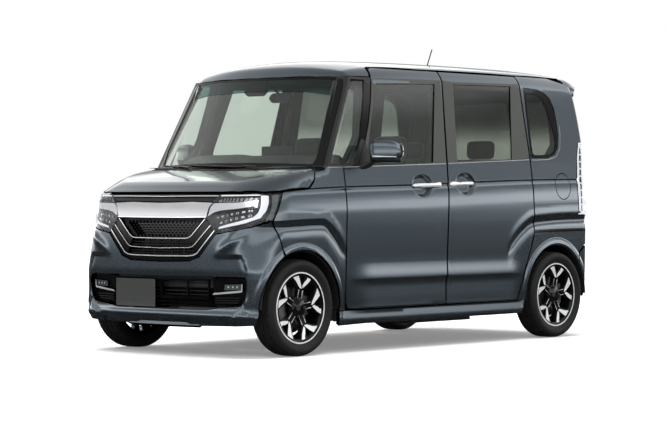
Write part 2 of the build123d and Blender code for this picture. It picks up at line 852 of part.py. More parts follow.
# ---- doors ----
with BuildPart() as front_door_skin:
    with BuildSketch(Plane.YZ.offset(side_start_x)):
        Polygon(*front_door_outline, align=None)
    extrude(amount=width / 2)
    add(skin_shell, mode=Mode.INTERSECT)
with BuildPart() as front_door_slab:
    with BuildSketch(Plane.YZ.offset(side_start_x)):
        Polygon(*front_door_outline, align=None)
        offset(amount=-door_inset, kind=Kind.INTERSECTION)
        with Locations(((door_front_y + hinge_y) / 2 + 9, 700)):
            Rectangle(hinge_y - door_front_y + 18, 1200, mode=Mode.SUBTRACT)
    extrude(amount=width / 2)
    add(door_shell, mode=Mode.INTERSECT)
    for pin_z in hinge_heights:
        with BuildSketch(Plane.XY.offset(pin_z - hinge_eye_height / 2)):
            with Locations((hinge_x, hinge_y)):
                Circle(hinge_eye_radius)
            with Locations((hinge_x, hinge_y + 12)):
                Rectangle(2 * hinge_eye_radius - 4, 24)
        extrude(amount=hinge_eye_height)
    with Locations((hinge_x, hinge_y, up(700))):
        Cylinder(hinge_pin_radius + running_gap, 900, mode=Mode.SUBTRACT)
with BuildPart() as front_door_left:
    add(front_door_skin.part)
    add(front_door_slab.part)
    with BuildSketch(Plane.YZ.offset(side_start_x)):
        Polygon(*front_window, align=None)
    extrude(amount=width / 2, mode=Mode.SUBTRACT)
save(front_door_left, "front_door_left")
front_door_right = mirrored(front_door_left)
save(front_door_right, "front_door_right")

with BuildPart() as door_glass_left:
    with BuildSketch(Plane.YZ.offset(side_start_x)):
        Polygon(*front_window, align=None)
        offset(amount=-fit_gap, kind=Kind.INTERSECTION)
    extrude(amount=width / 2)
    add(glass_shell, mode=Mode.INTERSECT)
save(door_glass_left, "door_glass_left")
door_glass_right = mirrored(door_glass_left)
save(door_glass_right, "door_glass_right")

with BuildPart() as sliding_doors:
    with BuildSketch(Plane.YZ.offset(side_start_x)):
        Polygon(*slide_door_outline, align=None)
        Polygon(*slide_window, align=None, mode=Mode.SUBTRACT)
    extrude(amount=width / 2)
    add(door_shell, mode=Mode.INTERSECT)
    add(wells.part, mode=Mode.SUBTRACT)
    mirror(about=Plane.YZ)
save(sliding_doors, "sliding_doors")

# ---- fuel lid, on its own upright pin at the front of its pocket ----
with BuildPart() as fuel_lid:
    add(skin_shell)
    with BuildSketch(Plane.YZ.offset(across(600))):
        with Locations((lid_y, lid_z)):
            Circle(lid_radius)
    extrude(amount=200, mode=Mode.INTERSECT)
    with Locations((lid_hinge_x, lid_hinge_y, lid_z)):
        Cylinder(4.2, 24)
    with Locations((lid_hinge_x + 2, lid_hinge_y, lid_z + 17), (lid_hinge_x + 2, lid_hinge_y, lid_z - 17)):
        Box(24, 22, 10, mode=Mode.SUBTRACT)
    with Locations((lid_hinge_x, lid_hinge_y, lid_z)):
        Cylinder(2 + running_gap, 60, mode=Mode.SUBTRACT)
save(fuel_lid, "fuel_lid")

# ---- skirts and wheel arch liners ----
with BuildPart() as side_skirts:
    add(thin_shell)
    with BuildSketch(Plane.YZ):
        Polygon(
            (along(-925), lip_z - 5), (along(-925), up(251.7)), (skirt_rear_y, up(251.7)),
            (skirt_rear_y, lip_z - 5), align=None,
        )
    extrude(amount=width, both=True, mode=Mode.INTERSECT)
    with Locations((sill_x - 20, 0, up(220)), (20 - sill_x, 0, up(220))):
        Box(70, along(1800), up(59))
    with Locations((sill_x - 35, 0, up(220)), (35 - sill_x, 0, up(220))):
        Box(70 + fit_gap, along(1812), up(61), mode=Mode.SUBTRACT)
    with Locations((0, 0, up(220))):
        Box(2 * across(640), along(2000), up(300), mode=Mode.SUBTRACT)
    add(wells.part, mode=Mode.SUBTRACT)
save(side_skirts, "side_skirts")

liner_top = arch_radius - fit_gap
with BuildPart() as arch_liners:
    for well_y, well_x in ((front_axle_y, well_depth_x), (rear_axle_y, rear_well_x)):
        with BuildSketch(Plane.YZ.offset(well_x)):
            with Locations((well_y, axle_z)):
                Circle(liner_top)
                Circle(liner_top - liner_wall, mode=Mode.SUBTRACT)
            with Locations((well_y, axle_z - arch_radius)):
                Rectangle(3 * arch_radius, 2 * arch_radius, mode=Mode.SUBTRACT)
        extrude(amount=half_width - skin - 8 - well_x)
        with BuildSketch(Plane.YZ.offset(well_x)):
            with Locations((well_y, axle_z)):
                Circle(liner_top)
            with Locations((well_y, axle_z - arch_radius)):
                Rectangle(3 * arch_radius, 2 * arch_radius, mode=Mode.SUBTRACT)
            with Locations((well_y, axle_z + 50)):
                Rectangle(150, 400, mode=Mode.SUBTRACT)
        extrude(amount=liner_wall)
    with Locations((strut_x, front_axle_y, up(640))):
        Cylinder(64, 300, mode=Mode.SUBTRACT)
    mirror(about=Plane.YZ)
save(arch_liners, "arch_liners")

# ---- front frame: bumper beam, rails, crossmember, with a towing eye ----
chassis_x = well_depth_x - 40
frame_z = axle_z + 168.5
beam_y = nose_y + 72.5
support_y = nose_y + 112.5
rail_front_y = beam_y + 20
rail_rear_y = firewall_y - firewall
member_y = front_axle_y + 60
with BuildPart() as front_frame:
    with Locations((0, beam_y, frame_z)):
        Box(2 * chassis_x + 60, 40, 100)
    for side in (-1, 1):
        with Locations((side * chassis_x, (rail_front_y + rail_rear_y) / 2, frame_z)):
            Box(60, rail_rear_y - rail_front_y, 100)
    with Locations((0, member_y, frame_z - 200)):
        Box(2 * chassis_x + 60, 120, 60)
    with Locations((chassis_x, member_y, frame_z - 110), (-chassis_x, member_y, frame_z - 110)):
        Box(50, 100, 130)
    with Locations((0, support_y, frame_z + 190), (0, support_y, frame_z - 150)):
        Box(2 * chassis_x + 60, 40, 50)
    with Locations((chassis_x, support_y, frame_z + 20), (-chassis_x, support_y, frame_z + 20)):
        Box(60, 40, 390)
    with Locations((towing_eye_x, towing_eye_y + 26, (towing_eye_z + frame_z - 150) / 2)):
        Box(60, 14, frame_z - 150 - towing_eye_z)
    with Locations((towing_eye_x, towing_eye_y + 3, towing_eye_z)):
        Box(60, 60, towing_eye_plate)
    with Locations((towing_eye_x, towing_eye_y, towing_eye_z)):
        Cylinder(towing_eye_radius, 2 * towing_eye_plate, mode=Mode.SUBTRACT)
save(front_frame, "front_frame")

engine_y = along(-1330)
with BuildPart() as engine_block:
    with Locations((0, engine_y, frame_z + 110)):
        Box(across(560), 330, 420)
    with Locations((0, member_y, frame_z - 135)):
        Box(300, 110, 70)
save(engine_block, "engine_block")

# ---- front struts and arms ----
strut_foot_z = axle_z + 138.5
strut_top_z = up(860)
upper_joint_z = axle_z + 128.5
lower_joint_z = axle_z - 56.5
arm_z = axle_z - 76.5
with BuildPart() as front_suspension:
    with Locations((strut_x, front_axle_y, (strut_foot_z + strut_top_z) / 2)):
        Cylinder(24, strut_top_z - strut_foot_z)
    with Locations((strut_x, front_axle_y, strut_top_z - 140)):
        Cylinder(58, 220)
    with Locations((chassis_x + 80, front_axle_y + 30, strut_top_z - 10)):
        Box(220, 200, 20)
    with Locations(((strut_x + kingpin_x) / 2, front_axle_y, strut_foot_z + 20)):
        Box(kingpin_x - strut_x + 40, 44, 30)
    with Locations(((chassis_x + kingpin_x) / 2, front_axle_y + 30, arm_z)):
        Box(kingpin_x - chassis_x + 40, 90, 22)
    with Locations((chassis_x + 10, member_y, arm_z)):
        Box(60, 160, 29.7)
    with Locations((kingpin_x, front_axle_y, upper_joint_z)):
        Cylinder(joint_pin_radius, 40)
    with Locations((kingpin_x, front_axle_y, lower_joint_z)):
        Cylinder(joint_pin_radius, 30)
    mirror(about=Plane.YZ)
save(front_suspension, "front_suspension")

knuckle_low_z = axle_z - 46.5
knuckle_high_z = axle_z + 118.5
with BuildPart() as knuckle_left:
    with Locations((kingpin_x, front_axle_y, (knuckle_low_z + knuckle_high_z) / 2 - 2)):
        Cylinder(24, knuckle_high_z - knuckle_low_z - 6)
    with Locations((kingpin_x, front_axle_y, upper_joint_z)):
        Cylinder(joint_pin_radius + running_gap, 80, mode=Mode.SUBTRACT)
    with Locations((kingpin_x, front_axle_y, lower_joint_z)):
        Cylinder(joint_pin_radius + running_gap, 60, mode=Mode.SUBTRACT)
    with Locations((kingpin_x + 35, front_axle_y, axle_z)):
        Cylinder(45, 50, rotation=(0, 90, 0))
    with Locations((kingpin_x + 60, front_axle_y, axle_z)):
        Cylinder(spindle_radius, 60, rotation=(0, 90, 0))
    with Locations((kingpin_x - 10, front_axle_y + 70, axle_z - 19.5)):
        Box(24, 110, 20)
    with Locations((kingpin_x + 40, front_axle_y + 100, axle_z + 10)):
        Box(30, 60, 110)
    with Locations((kingpin_x + 30, front_axle_y + 60, axle_z)):
        Box(20, 100, 50)
save(knuckle_left, "knuckle_left")
knuckle_right = mirrored(knuckle_left)
save(knuckle_right, "knuckle_right")

# ---- rear axle beam, its arms and its stub axles ----
beam_x = wheel_x - 167.5
pivot_y = along(884)
pivot_top_z = rear_floor_z - 30
spring_seat_z = axle_z + 32.5
with BuildPart() as rear_axle:
    with Locations((0, rear_axle_y - 40, axle_z)):
        Box(2 * beam_x - 10, 80, 70)
    for side in (-1, 1):
        with Locations((side * beam_x, (pivot_y + rear_axle_y + 40) / 2, axle_z)):
            Box(50, rear_axle_y + 40 - pivot_y, 60)
        with Locations((side * beam_x, pivot_y + 6, (axle_z + pivot_top_z + 18.5) / 2)):
            Box(50, 12, pivot_top_z - axle_z - 18.5)
        with Locations((side * (beam_x + 85), rear_axle_y, axle_z)):
            Cylinder(40, 130, rotation=(0, 90, 0))
        with Locations((side * (beam_x + 155), rear_axle_y, axle_z)):
            Cylinder(spindle_radius, 100, rotation=(0, 90, 0))
        with Locations((side * (beam_x - 45), rear_axle_y - 40, (spring_seat_z + rear_floor_z) / 2)):
            Cylinder(55, rear_floor_z - spring_seat_z)
save(rear_axle, "rear_axle")

pipe_z = floor_z - 27
rear_pipe_z = rear_floor_z - 40
silencer_y = along(1400)
silencer_z = rear_floor_z - 90
with BuildPart() as exhaust:
    with BuildLine() as pipe_line:
        FilletPolyline(
            (-exhaust_x, silencer_y - 80, rear_pipe_z),
            (-exhaust_x, along(1000), rear_pipe_z),
            (-exhaust_x, along(920), pipe_z),
            (-exhaust_x, along(-500), pipe_z),
            (across(-180), along(-900), pipe_z),
            (across(-180), along(-1060), frame_z - 120),
            radius=60,
        )
    with BuildSketch(Plane.XZ.offset(80 - silencer_y)):
        with Locations((-exhaust_x, rear_pipe_z)):
            Circle(22)
    sweep(path=pipe_line.line)
    with Locations((-exhaust_x, silencer_y, silencer_z)):
        Cylinder(85, 180, rotation=(90, 0, 0))
    with Locations((-exhaust_x, tail_pipe_y, silencer_z - 60)):
        Cylinder(20, 200, rotation=(90, 0, 0))
    for hanger_y in (along(-200), along(500)):
        with Locations((-exhaust_x, hanger_y, (pipe_z + floor_z - fit_gap) / 2)):
            Box(24, 14, floor_z - fit_gap - pipe_z)
    with Locations((-exhaust_x, silencer_y, rear_floor_z)):
        Box(24, 14, 27)
save(exhaust, "exhaust")

with BuildPart() as fuel_tank:
    with Locations((across(150), along(400), floor_z - 38)):
        Box(across(560), along(620), 75)
save(fuel_tank, "fuel_tank")

# ---- wheels ----
def wheel(x, y, side):
    """Rim and tyre about the wheel's middle at x; side is +1 on the car's left."""
    half_tyre = tyre_width / 2
    half_rim = rim_width / 2
    seat = rim_diameter / 2 - 17
    with BuildPart() as tyre:
        with BuildSketch(Plane.XZ):
            with BuildLine():
                Line((-half_rim, seat + 0.2), (half_rim, seat + 0.2))
                Line((half_rim, seat + 0.2), (half_rim, seat + 17.6))
                ThreePointArc(
                    (half_rim, seat + 17.6), (half_tyre, seat + 44),
                    (half_tyre - 10, tyre_diameter / 2 - 12),
                )
                Polyline(
                    (half_tyre - 10, tyre_diameter / 2 - 12),
                    (half_tyre - 24, tyre_diameter / 2 - 2),
                    (0, tyre_diameter / 2),
                    (24 - half_tyre, tyre_diameter / 2 - 2),
                    (10 - half_tyre, tyre_diameter / 2 - 12),
                )
                ThreePointArc(
                    (10 - half_tyre, tyre_diameter / 2 - 12), (-half_tyre, seat + 44),
                    (-half_rim, seat + 17.6),
                )
                Line((-half_rim, seat + 17.6), (-half_rim, seat + 0.2))
            make_face()
        revolve(axis=Axis.X)
    face = hub_face_x - wheel_x
    with BuildPart() as rim:
        with BuildSketch(Plane.XZ):
            Polygon(
                (-half_rim - 8, seat + 17),
                (-half_rim, seat + 17),
                (-half_rim, seat),
                (half_rim, seat),
                (half_rim, seat + 17),
                (half_rim + 4, seat + 17),
                (half_rim + 4, seat - 8),
                (-half_rim - 8, seat - 8),
                align=None,
            )
        revolve(axis=Axis.X)
        with BuildSketch(Plane.YZ.offset(face)):
            Circle(72)
            with PolarLocations(105, 10):
                Rectangle(2 * (seat - 108), 22)
            with PolarLocations(50, 4):
                Circle(8, mode=Mode.SUBTRACT)
        extrude(amount=16)
        with BuildSketch(Plane.YZ.offset(face)):
            Circle(32)
            Circle(spindle_radius + running_gap, mode=Mode.SUBTRACT)
        extrude(amount=-30)
        with BuildSketch(Plane.YZ.offset(face)):
            Circle(118)
            Circle(30, mode=Mode.SUBTRACT)
        extrude(amount=-10)
    moved = []
    for piece in (tyre, rim):
        shape = piece.part if side > 0 else piece.part.mirror(Plane.YZ)
        with BuildPart() as placed:
            add(shape.moved(Location((x, y, axle_z))))
        moved.append(placed)
    return moved


for corner, x, y, side in (
    ("front_left", wheel_x, front_axle_y, 1),
    ("front_right", -wheel_x, front_axle_y, -1),
    ("rear_left", wheel_x, rear_axle_y, 1),
    ("rear_right", -wheel_x, rear_axle_y, -1),
):
    tyre, rim = wheel(x, y, side)
    save(tyre, f"tyre_{corner}")
    save(rim, f"rim_{corner}")

# ---- door mirrors, each on its door ----
with BuildPart() as mirror_left:
    with Locations((across(835), along(-650), up(1197))):
        Box(across(180), 90, up(139))
    with Locations((across(735), along(-690), up(1120))):
        Box(80, 60, 34)
    with Locations((across(764), along(-665), up(1140))):
        Box(30, 40, 40)
    add(outer_form, mode=Mode.SUBTRACT)
save(mirror_left, "mirror_left")
mirror_right = mirrored(mirror_left)
save(mirror_right, "mirror_right")

# ---- cabin ----
tilt = math.radians(column_tilt)
wheel_plane = Plane(
    origin=(steering_wheel_x, steering_wheel_y, steering_wheel_z),
    x_dir=(1, 0, 0),
    z_dir=(0, math.cos(tilt), math.sin(tilt)),
)
with BuildPart() as steering_wheel:
    with BuildSketch(Plane(origin=wheel_plane.origin, x_dir=wheel_plane.z_dir, z_dir=(1, 0, 0))):
        with Locations((0, steering_wheel_radius - 14)):
            Circle(14)
    revolve(axis=Axis(wheel_plane.origin, wheel_plane.z_dir))
    with BuildSketch(wheel_plane.offset(-20)):
        Circle(62)
        with Locations((steering_wheel_radius / 2, 0), (-steering_wheel_radius / 2, 0)):
            Rectangle(steering_wheel_radius - 16, 34)
        with Locations((0, -steering_wheel_radius / 2)):
            Rectangle(34, steering_wheel_radius - 16)
    extrude(amount=28)
    with BuildSketch(wheel_plane.offset(-20)):
        Circle(14)
    extrude(amount=-50)
save(steering_wheel, "steering_wheel")

with BuildPart() as dashboard:
    with BuildSketch(Plane.YZ):
        Polygon(
            (firewall_y + fit_gap, up(1085)), (along(-860), up(1120)), (along(-700), up(1100)),
            (along(-680), up(950)), (along(-760), up(700)), (firewall_y + fit_gap, up(650)),
            align=None,
        )
    extrude(amount=cabin_half, both=True)
    with Locations((0, along(-765), up(540))):
        Box(across(220), along(300), up(420))
    with BuildSketch(wheel_plane.offset(-70 - fit_gap)):
        Circle(32)
    extrude(amount=-110)
save(dashboard, "dashboard")

seat_x = across(335)
with BuildPart() as front_seats:
    for side in (-1, 1):
        with Locations((side * seat_x, along(-300), up(560))):
            Box(across(520), along(520), up(150))
        with Locations((side * seat_x, -10, up(860))):
            Box(across(500), along(110), up(600))
        with Locations((side * seat_x, 0, up(1230))):
            Box(across(260), 90, up(180))
        with Locations((side * seat_x, -5, up(1150))):
            Box(80, 20, 60)
        with Locations((side * seat_x, along(-260), up(365.5))):
            Box(2 * (rear_well_x - 15 - seat_x), along(420), up(240))
save(front_seats, "front_seats")

with BuildPart() as rear_seat:
    with Locations((0, along(720), up(600))):
        Box(across(1020), along(480), up(150))
    with Locations((0, along(990), up(900))):
        Box(across(1020), along(110), up(560))
    with Locations((0, along(680), up(385.5))):
        Box(across(980), along(110), up(280.5))
    with Locations((across(300), along(990), up(1235)), (across(-300), along(990), up(1235))):
        Box(across(240), 80, up(150))
save(rear_seat, "rear_seat")

with BuildPart() as antenna:
    with BuildSketch(Plane.XY.offset(height - 10)):
        with Locations((0, along(800))):
            Circle(14)
    extrude(amount=22)
    with BuildSketch(Plane.XY.offset(height + 10)):
        with Locations((0, along(800))):
            Circle(4)
    extrude(amount=120, dir=(0, 0.42, 0.9))
    add(outer_form, mode=Mode.SUBTRACT)
save(antenna, "antenna")
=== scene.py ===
# %% [markdown]
# A tall four-door kei wagon, built as a lesson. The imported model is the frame: its bodies move,
# and every piece made here rides on one of them. Lengths below are millimetres until a mesh is
# made, because a car's drawings are in millimetres; Blender's own unit is the metre.

# %% Frame
import math

import bmesh
import bpy
import numpy as np
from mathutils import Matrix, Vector
from mathutils.geometry import delaunay_2d_cdt


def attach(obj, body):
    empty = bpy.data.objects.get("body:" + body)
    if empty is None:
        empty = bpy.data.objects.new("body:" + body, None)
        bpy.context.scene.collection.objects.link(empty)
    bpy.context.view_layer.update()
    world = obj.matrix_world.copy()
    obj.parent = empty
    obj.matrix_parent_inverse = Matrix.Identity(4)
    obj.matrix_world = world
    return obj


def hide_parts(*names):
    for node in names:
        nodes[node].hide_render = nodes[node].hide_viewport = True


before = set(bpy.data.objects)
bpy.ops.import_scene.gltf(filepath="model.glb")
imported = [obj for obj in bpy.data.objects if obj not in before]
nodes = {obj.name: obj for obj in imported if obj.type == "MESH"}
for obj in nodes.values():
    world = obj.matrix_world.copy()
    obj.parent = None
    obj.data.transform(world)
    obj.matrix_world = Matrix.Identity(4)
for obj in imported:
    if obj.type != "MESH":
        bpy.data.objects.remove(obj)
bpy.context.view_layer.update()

# %% [markdown]
# The main sizes repeat the part's own, so that each piece falls on its solid. The nose points
# along -Y, and the left side of the car is +X.

# %% Sizes
NOSE, TAIL = -1697.5, 1697.5
HALF_WIDTH = 737.5
AXLES = (-1257.5, 1262.5)
AXLE_Z = 281.5
WHEEL_X = 652.5
ARCH_RADIUS = 337
FLARE_RADIUS = 374
MIRROR = (-1, 1, 1)  # times a point of the left side, its twin on the right
SHUT = 2.2  # half of the gap between two panels
print("length", TAIL - NOSE, "width", 2 * HALF_WIDTH)

# %% [markdown]
# The camera comes first, because it fixes what has to be seen: a long lens at eye level, a
# little ahead of the car's left front corner. A long lens keeps the box of the car square.

# %% Camera
LOOKS_ALONG, LOOKS_DOWN = 41.174, 0.5865  # degrees
camera_data = bpy.data.cameras.new("view")
camera = bpy.data.objects.new("view", camera_data)
bpy.context.scene.collection.objects.link(camera)
camera_data.sensor_width = 36
camera_data.lens = 125.7
camera_data.clip_end = 200
camera.location = (9.7356, -11.2777, 0.9145)
camera.rotation_euler = (math.radians(90 - LOOKS_DOWN), 0, math.radians(LOOKS_ALONG))
bpy.context.scene.camera = camera
print("camera", tuple(camera.location))

# %% [markdown]
# A material is more than a colour. Three effects serve several materials, so each is a node
# group with its own inputs: a fine grain for moulded plastic, soft dust that gathers low on the
# body, and the sparkle of metal flakes under lacquer. Groups put out only heights, masks and
# colours; the shader itself stays in each material.

# %% Node helpers
def new_group(name, inputs, outputs):
    """An empty node group with named float sockets, and its input and output nodes."""
    group = bpy.data.node_groups.new(name, "ShaderNodeTree")
    for label, value in inputs.items():
        socket = group.interface.new_socket(label, in_out="INPUT", socket_type="NodeSocketFloat")
        socket.default_value = value
    for label in outputs:
        group.interface.new_socket(label, in_out="OUTPUT", socket_type="NodeSocketFloat")
    return group, group.nodes.new("NodeGroupInput"), group.nodes.new("NodeGroupOutput")


def node(tree, kind, **settings):
    """A node of a tree, with its settings and the values of its named inputs."""
    made = tree.nodes.new(kind)
    for label, value in settings.items():
        if label in made.inputs:
            made.inputs[label].default_value = value
        else:
            setattr(made, label, value)
    return made


def math_node(tree, operation, first, second):
    """One Math node, whose operands are numbers or output sockets."""
    made = tree.nodes.new("ShaderNodeMath")
    made.operation = operation
    for socket, value in zip(made.inputs, (first, second)):
        if isinstance(value, (int, float)):
            socket.default_value = value
        else:
            tree.links.new(value, socket)
    return made.outputs[0]


def own_height(tree):
    """The height of a place on its own object, in metres."""
    place = node(tree, "ShaderNodeTexCoord")
    split = node(tree, "ShaderNodeSeparateXYZ")
    tree.links.new(place.outputs["Object"], split.inputs[0])
    return split.outputs["Z"]


print("node helpers ready")

# %% [markdown]
# Moulded grain is a field of small cells for the relief, with slow clouds that vary the shine.

# %% Moulded grain
grain_group, grain_in, grain_out = new_group(
    "moulded grain", {"Scale": 900.0, "Patches": 12.0}, ("Height", "Patch")
)
place = node(grain_group, "ShaderNodeTexCoord")
cells = node(grain_group, "ShaderNodeTexVoronoi", feature="F1")
clouds = node(grain_group, "ShaderNodeTexNoise", Detail=3.0)
for texture, socket in ((cells, "Scale"), (clouds, "Patches")):
    grain_group.links.new(place.outputs["Object"], texture.inputs["Vector"])
    grain_group.links.new(grain_in.outputs[socket], texture.inputs["Scale"])
grain_group.links.new(cells.outputs["Distance"], grain_out.inputs["Height"])
grain_group.links.new(clouds.outputs["Fac"], grain_out.inputs["Patch"])
print("effect:", grain_group.name)

# %% [markdown]
# Each metal flake under the lacquer is a cell with its own random shade, which varies the shine.

# %% Metal flakes
flake_group, flake_in, flake_out = new_group(
    "metal flakes", {"Scale": 2600.0, "Strength": 0.1}, ("Spark", "Height")
)
place = node(flake_group, "ShaderNodeTexCoord")
flakes = node(flake_group, "ShaderNodeTexVoronoi", feature="F1")
flake_group.links.new(place.outputs["Object"], flakes.inputs["Vector"])
flake_group.links.new(flake_in.outputs["Scale"], flakes.inputs["Scale"])
spread = node(flake_group, "ShaderNodeSeparateColor")
flake_group.links.new(flakes.outputs["Color"], spread.inputs[0])
spark = math_node(flake_group, "MULTIPLY", spread.outputs[0], flake_in.outputs["Strength"])
flake_group.links.new(spark, flake_out.inputs["Spark"])
flake_group.links.new(spread.outputs[1], flake_out.inputs["Height"])
print("effect:", flake_group.name)

# %% [markdown]
# Road dust starts below a top height, thickens towards the road and is broken up by noise.

# %% Road dust
dust_group, dust_in, dust_out = new_group("road dust", {"Top": 0.45, "Amount": 0.3}, ("Mask",))
below = math_node(dust_group, "SUBTRACT", dust_in.outputs["Top"], own_height(dust_group))
below = math_node(dust_group, "MAXIMUM", below, 0.0)
speckle = node(dust_group, "ShaderNodeTexNoise", Scale=9.0, Detail=6.0)
place = node(dust_group, "ShaderNodeTexCoord")
dust_group.links.new(place.outputs["Object"], speckle.inputs["Vector"])
broken = math_node(dust_group, "MULTIPLY", below, speckle.outputs["Fac"])
dusty = math_node(dust_group, "MULTIPLY", broken, dust_in.outputs["Amount"])
dust_group.links.new(dusty, dust_out.inputs["Mask"])
print("effects:", [group.name for group in (grain_group, flake_group, dust_group)])

# %% [markdown]
# Each finish is one Principled shader. Constant values go straight on its sockets, and the
# groups above vary its colour, roughness or relief over the surface.

# %% Finish maker
def finish(name, colour, metallic=0.0, roughness=0.5, relief=None, vary=0.0, **sockets):
    """A material with a Principled shader, varied by relief = (group, scale, height in metres)."""
    material = bpy.data.materials.new(name)
    material.use_nodes = True
    tree = material.node_tree
    shader = tree.nodes["Principled BSDF"]
    shader.inputs["Base Color"].default_value = (*colour, 1)
    shader.inputs["Metallic"].default_value = metallic
    shader.inputs["Roughness"].default_value = roughness
    for label, value in sockets.items():
        shader.inputs[label.replace("_", " ")].default_value = value
    group, scale, height = relief or (grain_group, 40.0, 0.0)
    effect = node(tree, "ShaderNodeGroup", node_tree=group)
    effect.inputs["Scale"].default_value = scale
    if height:
        bump = node(tree, "ShaderNodeBump", Strength=0.5, Distance=height)
        tree.links.new(effect.outputs["Height"], bump.inputs["Height"])
        tree.links.new(bump.outputs[0], shader.inputs["Normal"])
    source = effect.outputs["Spark" if group == flake_group else "Patch"]
    ramp = node(tree, "ShaderNodeMapRange")
    ramp.inputs["To Min"].default_value = roughness * (1 - vary)
    ramp.inputs["To Max"].default_value = min(1.0, roughness * (1 + vary))
    tree.links.new(source, ramp.inputs["Value"])
    tree.links.new(ramp.outputs[0], shader.inputs["Roughness"])
    return material


print("finish maker ready")

# %% [markdown]
# Two more makers change a finish's base colour over its height: dust low down, and painted shade that
# darkens the privacy glass towards its top.

# %% Tints
def tint(material, colour, factor):
    """Turn a finish's base colour towards another by a factor socket."""
    tree = material.node_tree
    base = tree.nodes["Principled BSDF"].inputs["Base Color"]
    mix = node(tree, "ShaderNodeMix", data_type="RGBA")
    mix.inputs["A"].default_value = base.default_value
    mix.inputs["B"].default_value = (*colour, 1)
    tree.links.new(factor, mix.inputs["Factor"])
    tree.links.new(mix.outputs["Result"], base)


def add_dust(material, colour, top, amount):
    """Dust laid over a finish's base colour, thicker towards the road."""
    effect = node(material.node_tree, "ShaderNodeGroup", node_tree=dust_group)
    effect.inputs["Top"].default_value = top
    effect.inputs["Amount"].default_value = amount
    tint(material, colour, effect.outputs["Mask"])


def add_painted_shade(material, colour, low, high):
    """Painted shade: a finish whose base colour turns to another between two heights in metres."""
    tree = material.node_tree
    rise = node(tree, "ShaderNodeMapRange", interpolation_type="SMOOTHSTEP")
    rise.inputs["From Min"].default_value = low
    rise.inputs["From Max"].default_value = high
    tree.links.new(own_height(tree), rise.inputs["Value"])
    tint(material, colour, rise.outputs[0])


print("tints ready")

# %% [markdown]
# Every finish is listed once: its name, colour, metal, roughness, relief and how much the
# roughness varies. Metals keep some plain colour, because the room they mirror is mostly dark.

# %% Finishes
paint = finish("body_paint", (0.1, 0.127, 0.148), 0.92, 0.27, (flake_group, 2600.0, 0.0), 0.12,
               Coat_Weight=1.0, Coat_Roughness=0.035, Coat_IOR=1.5)
gloss_black = finish("gloss_black", (0.004, 0.004, 0.0045), 0.0, 0.1, None, 0.1, Specular_IOR_Level=0.25)
satin_black = finish("satin_black", (0.012, 0.0122, 0.0118), 0.0, 0.34, (grain_group, 1400.0, 0.00005),
                     0.2, Specular_IOR_Level=0.4)
film_grey = finish("film_grey", (0.045, 0.048, 0.043), 0.0, 0.4, (grain_group, 1400.0, 0.00003), 0.2)
black_plastic = finish("black_plastic", (0.008, 0.008, 0.0085), 0.0, 0.55, (grain_group, 700.0, 0.0002),
                       0.25, Specular_IOR_Level=0.3)
rubber = finish("seal_rubber", (0.008, 0.008, 0.008), 0.0, 0.65, (grain_group, 500.0, 0.0001), 0.1)
tyre_rubber = finish("tyre_rubber", (0.007, 0.0075, 0.007), 0.0, 0.6, (grain_group, 380.0, 0.0002), 0.2,
                     Specular_IOR_Level=0.35)
chrome = finish("chrome", (0.88, 0.89, 0.9), 0.62, 0.1, None, 0.3)
satin_chrome = finish("satin_chrome", (0.6, 0.6, 0.61), 0.62, 0.24, (grain_group, 1800.0, 0.00002), 0.2)
machined = finish("machined_alloy", (0.86, 0.87, 0.88), 0.3, 0.22, (grain_group, 2200.0, 0.00003), 0.3)
dark_steel = finish("dark_steel", (0.02, 0.02, 0.021), 0.4, 0.55, (grain_group, 120.0, 0.0003), 0.3)
cast_metal = finish("cast_metal", (0.22, 0.22, 0.22), 0.9, 0.5, (grain_group, 260.0, 0.0004), 0.3)
disc_steel = finish("disc_steel", (0.26, 0.255, 0.25), 1.0, 0.4, (grain_group, 900.0, 0.00005), 0.3)
exhaust_steel = finish("exhaust_steel", (0.3, 0.29, 0.28), 1.0, 0.42, (grain_group, 90.0, 0.0002), 0.3)
inner_trim = finish("inner_trim", (0.05, 0.05, 0.044), 0.0, 0.7, (grain_group, 900.0, 0.0002), 0.2)
headliner = finish("headliner", (0.3, 0.29, 0.27), 0.0, 0.9, (grain_group, 600.0, 0.0003), 0.1)
dash_plastic = finish("dash_plastic", (0.03, 0.03, 0.031), 0.0, 0.6, (grain_group, 800.0, 0.0002), 0.2)
fabric = finish("seat_fabric", (0.032, 0.031, 0.03), 0.0, 0.9, (grain_group, 420.0, 0.0006), 0.1,
                Sheen_Weight=0.3)
lamp_grey = finish("lamp_grey", (0.075, 0.085, 0.085), 0.3, 0.25, (grain_group, 900.0, 0.00002), 0.2)
lamp_black = finish("lamp_black", (0.01, 0.01, 0.011), 0.3, 0.25, None, 0.2)
lamp_white = finish("lamp_white", (0.85, 0.87, 0.9), 0.6, 0.18, None, 0.2)
lamp_red = finish("lamp_red", (0.55, 0.02, 0.02), 0.2, 0.15, None, 0.2)


def clear(name, colour, index):
    """A see-through finish with its index of refraction."""
    return finish(name, colour, 0.0, 0.0, None, 0.0, Transmission_Weight=1.0, IOR=index)


glass = clear("clear_glass", (0.71, 0.77, 0.715), 1.45)
shade_glass = clear("shade_band_glass", (0.08, 0.2, 0.17), 1.45)
dark_glass = clear("privacy_glass", (0.42, 0.45, 0.405), 1.45)
# painted shade: the privacy glass turns darker towards its top
add_painted_shade(dark_glass, (0.12, 0.135, 0.12), 1.26, 1.44)
lens = clear("lamp_lens", (0.97, 0.98, 1.0), 1.3)
plate_grey = finish("plate_grey", (0.038, 0.041, 0.038), 0.0, 0.45, (grain_group, 300.0, 0.00005), 0.15)
DUST = (0.16, 0.15, 0.135)
for material, top, amount in ((paint, 0.3, 0.12), (tyre_rubber, 0.6, 0.04), (dark_steel, 0.6, 0.6),
                              (black_plastic, 0.4, 0.3)):
    add_dust(material, DUST, top, amount)
print("finishes:", len(bpy.data.materials))

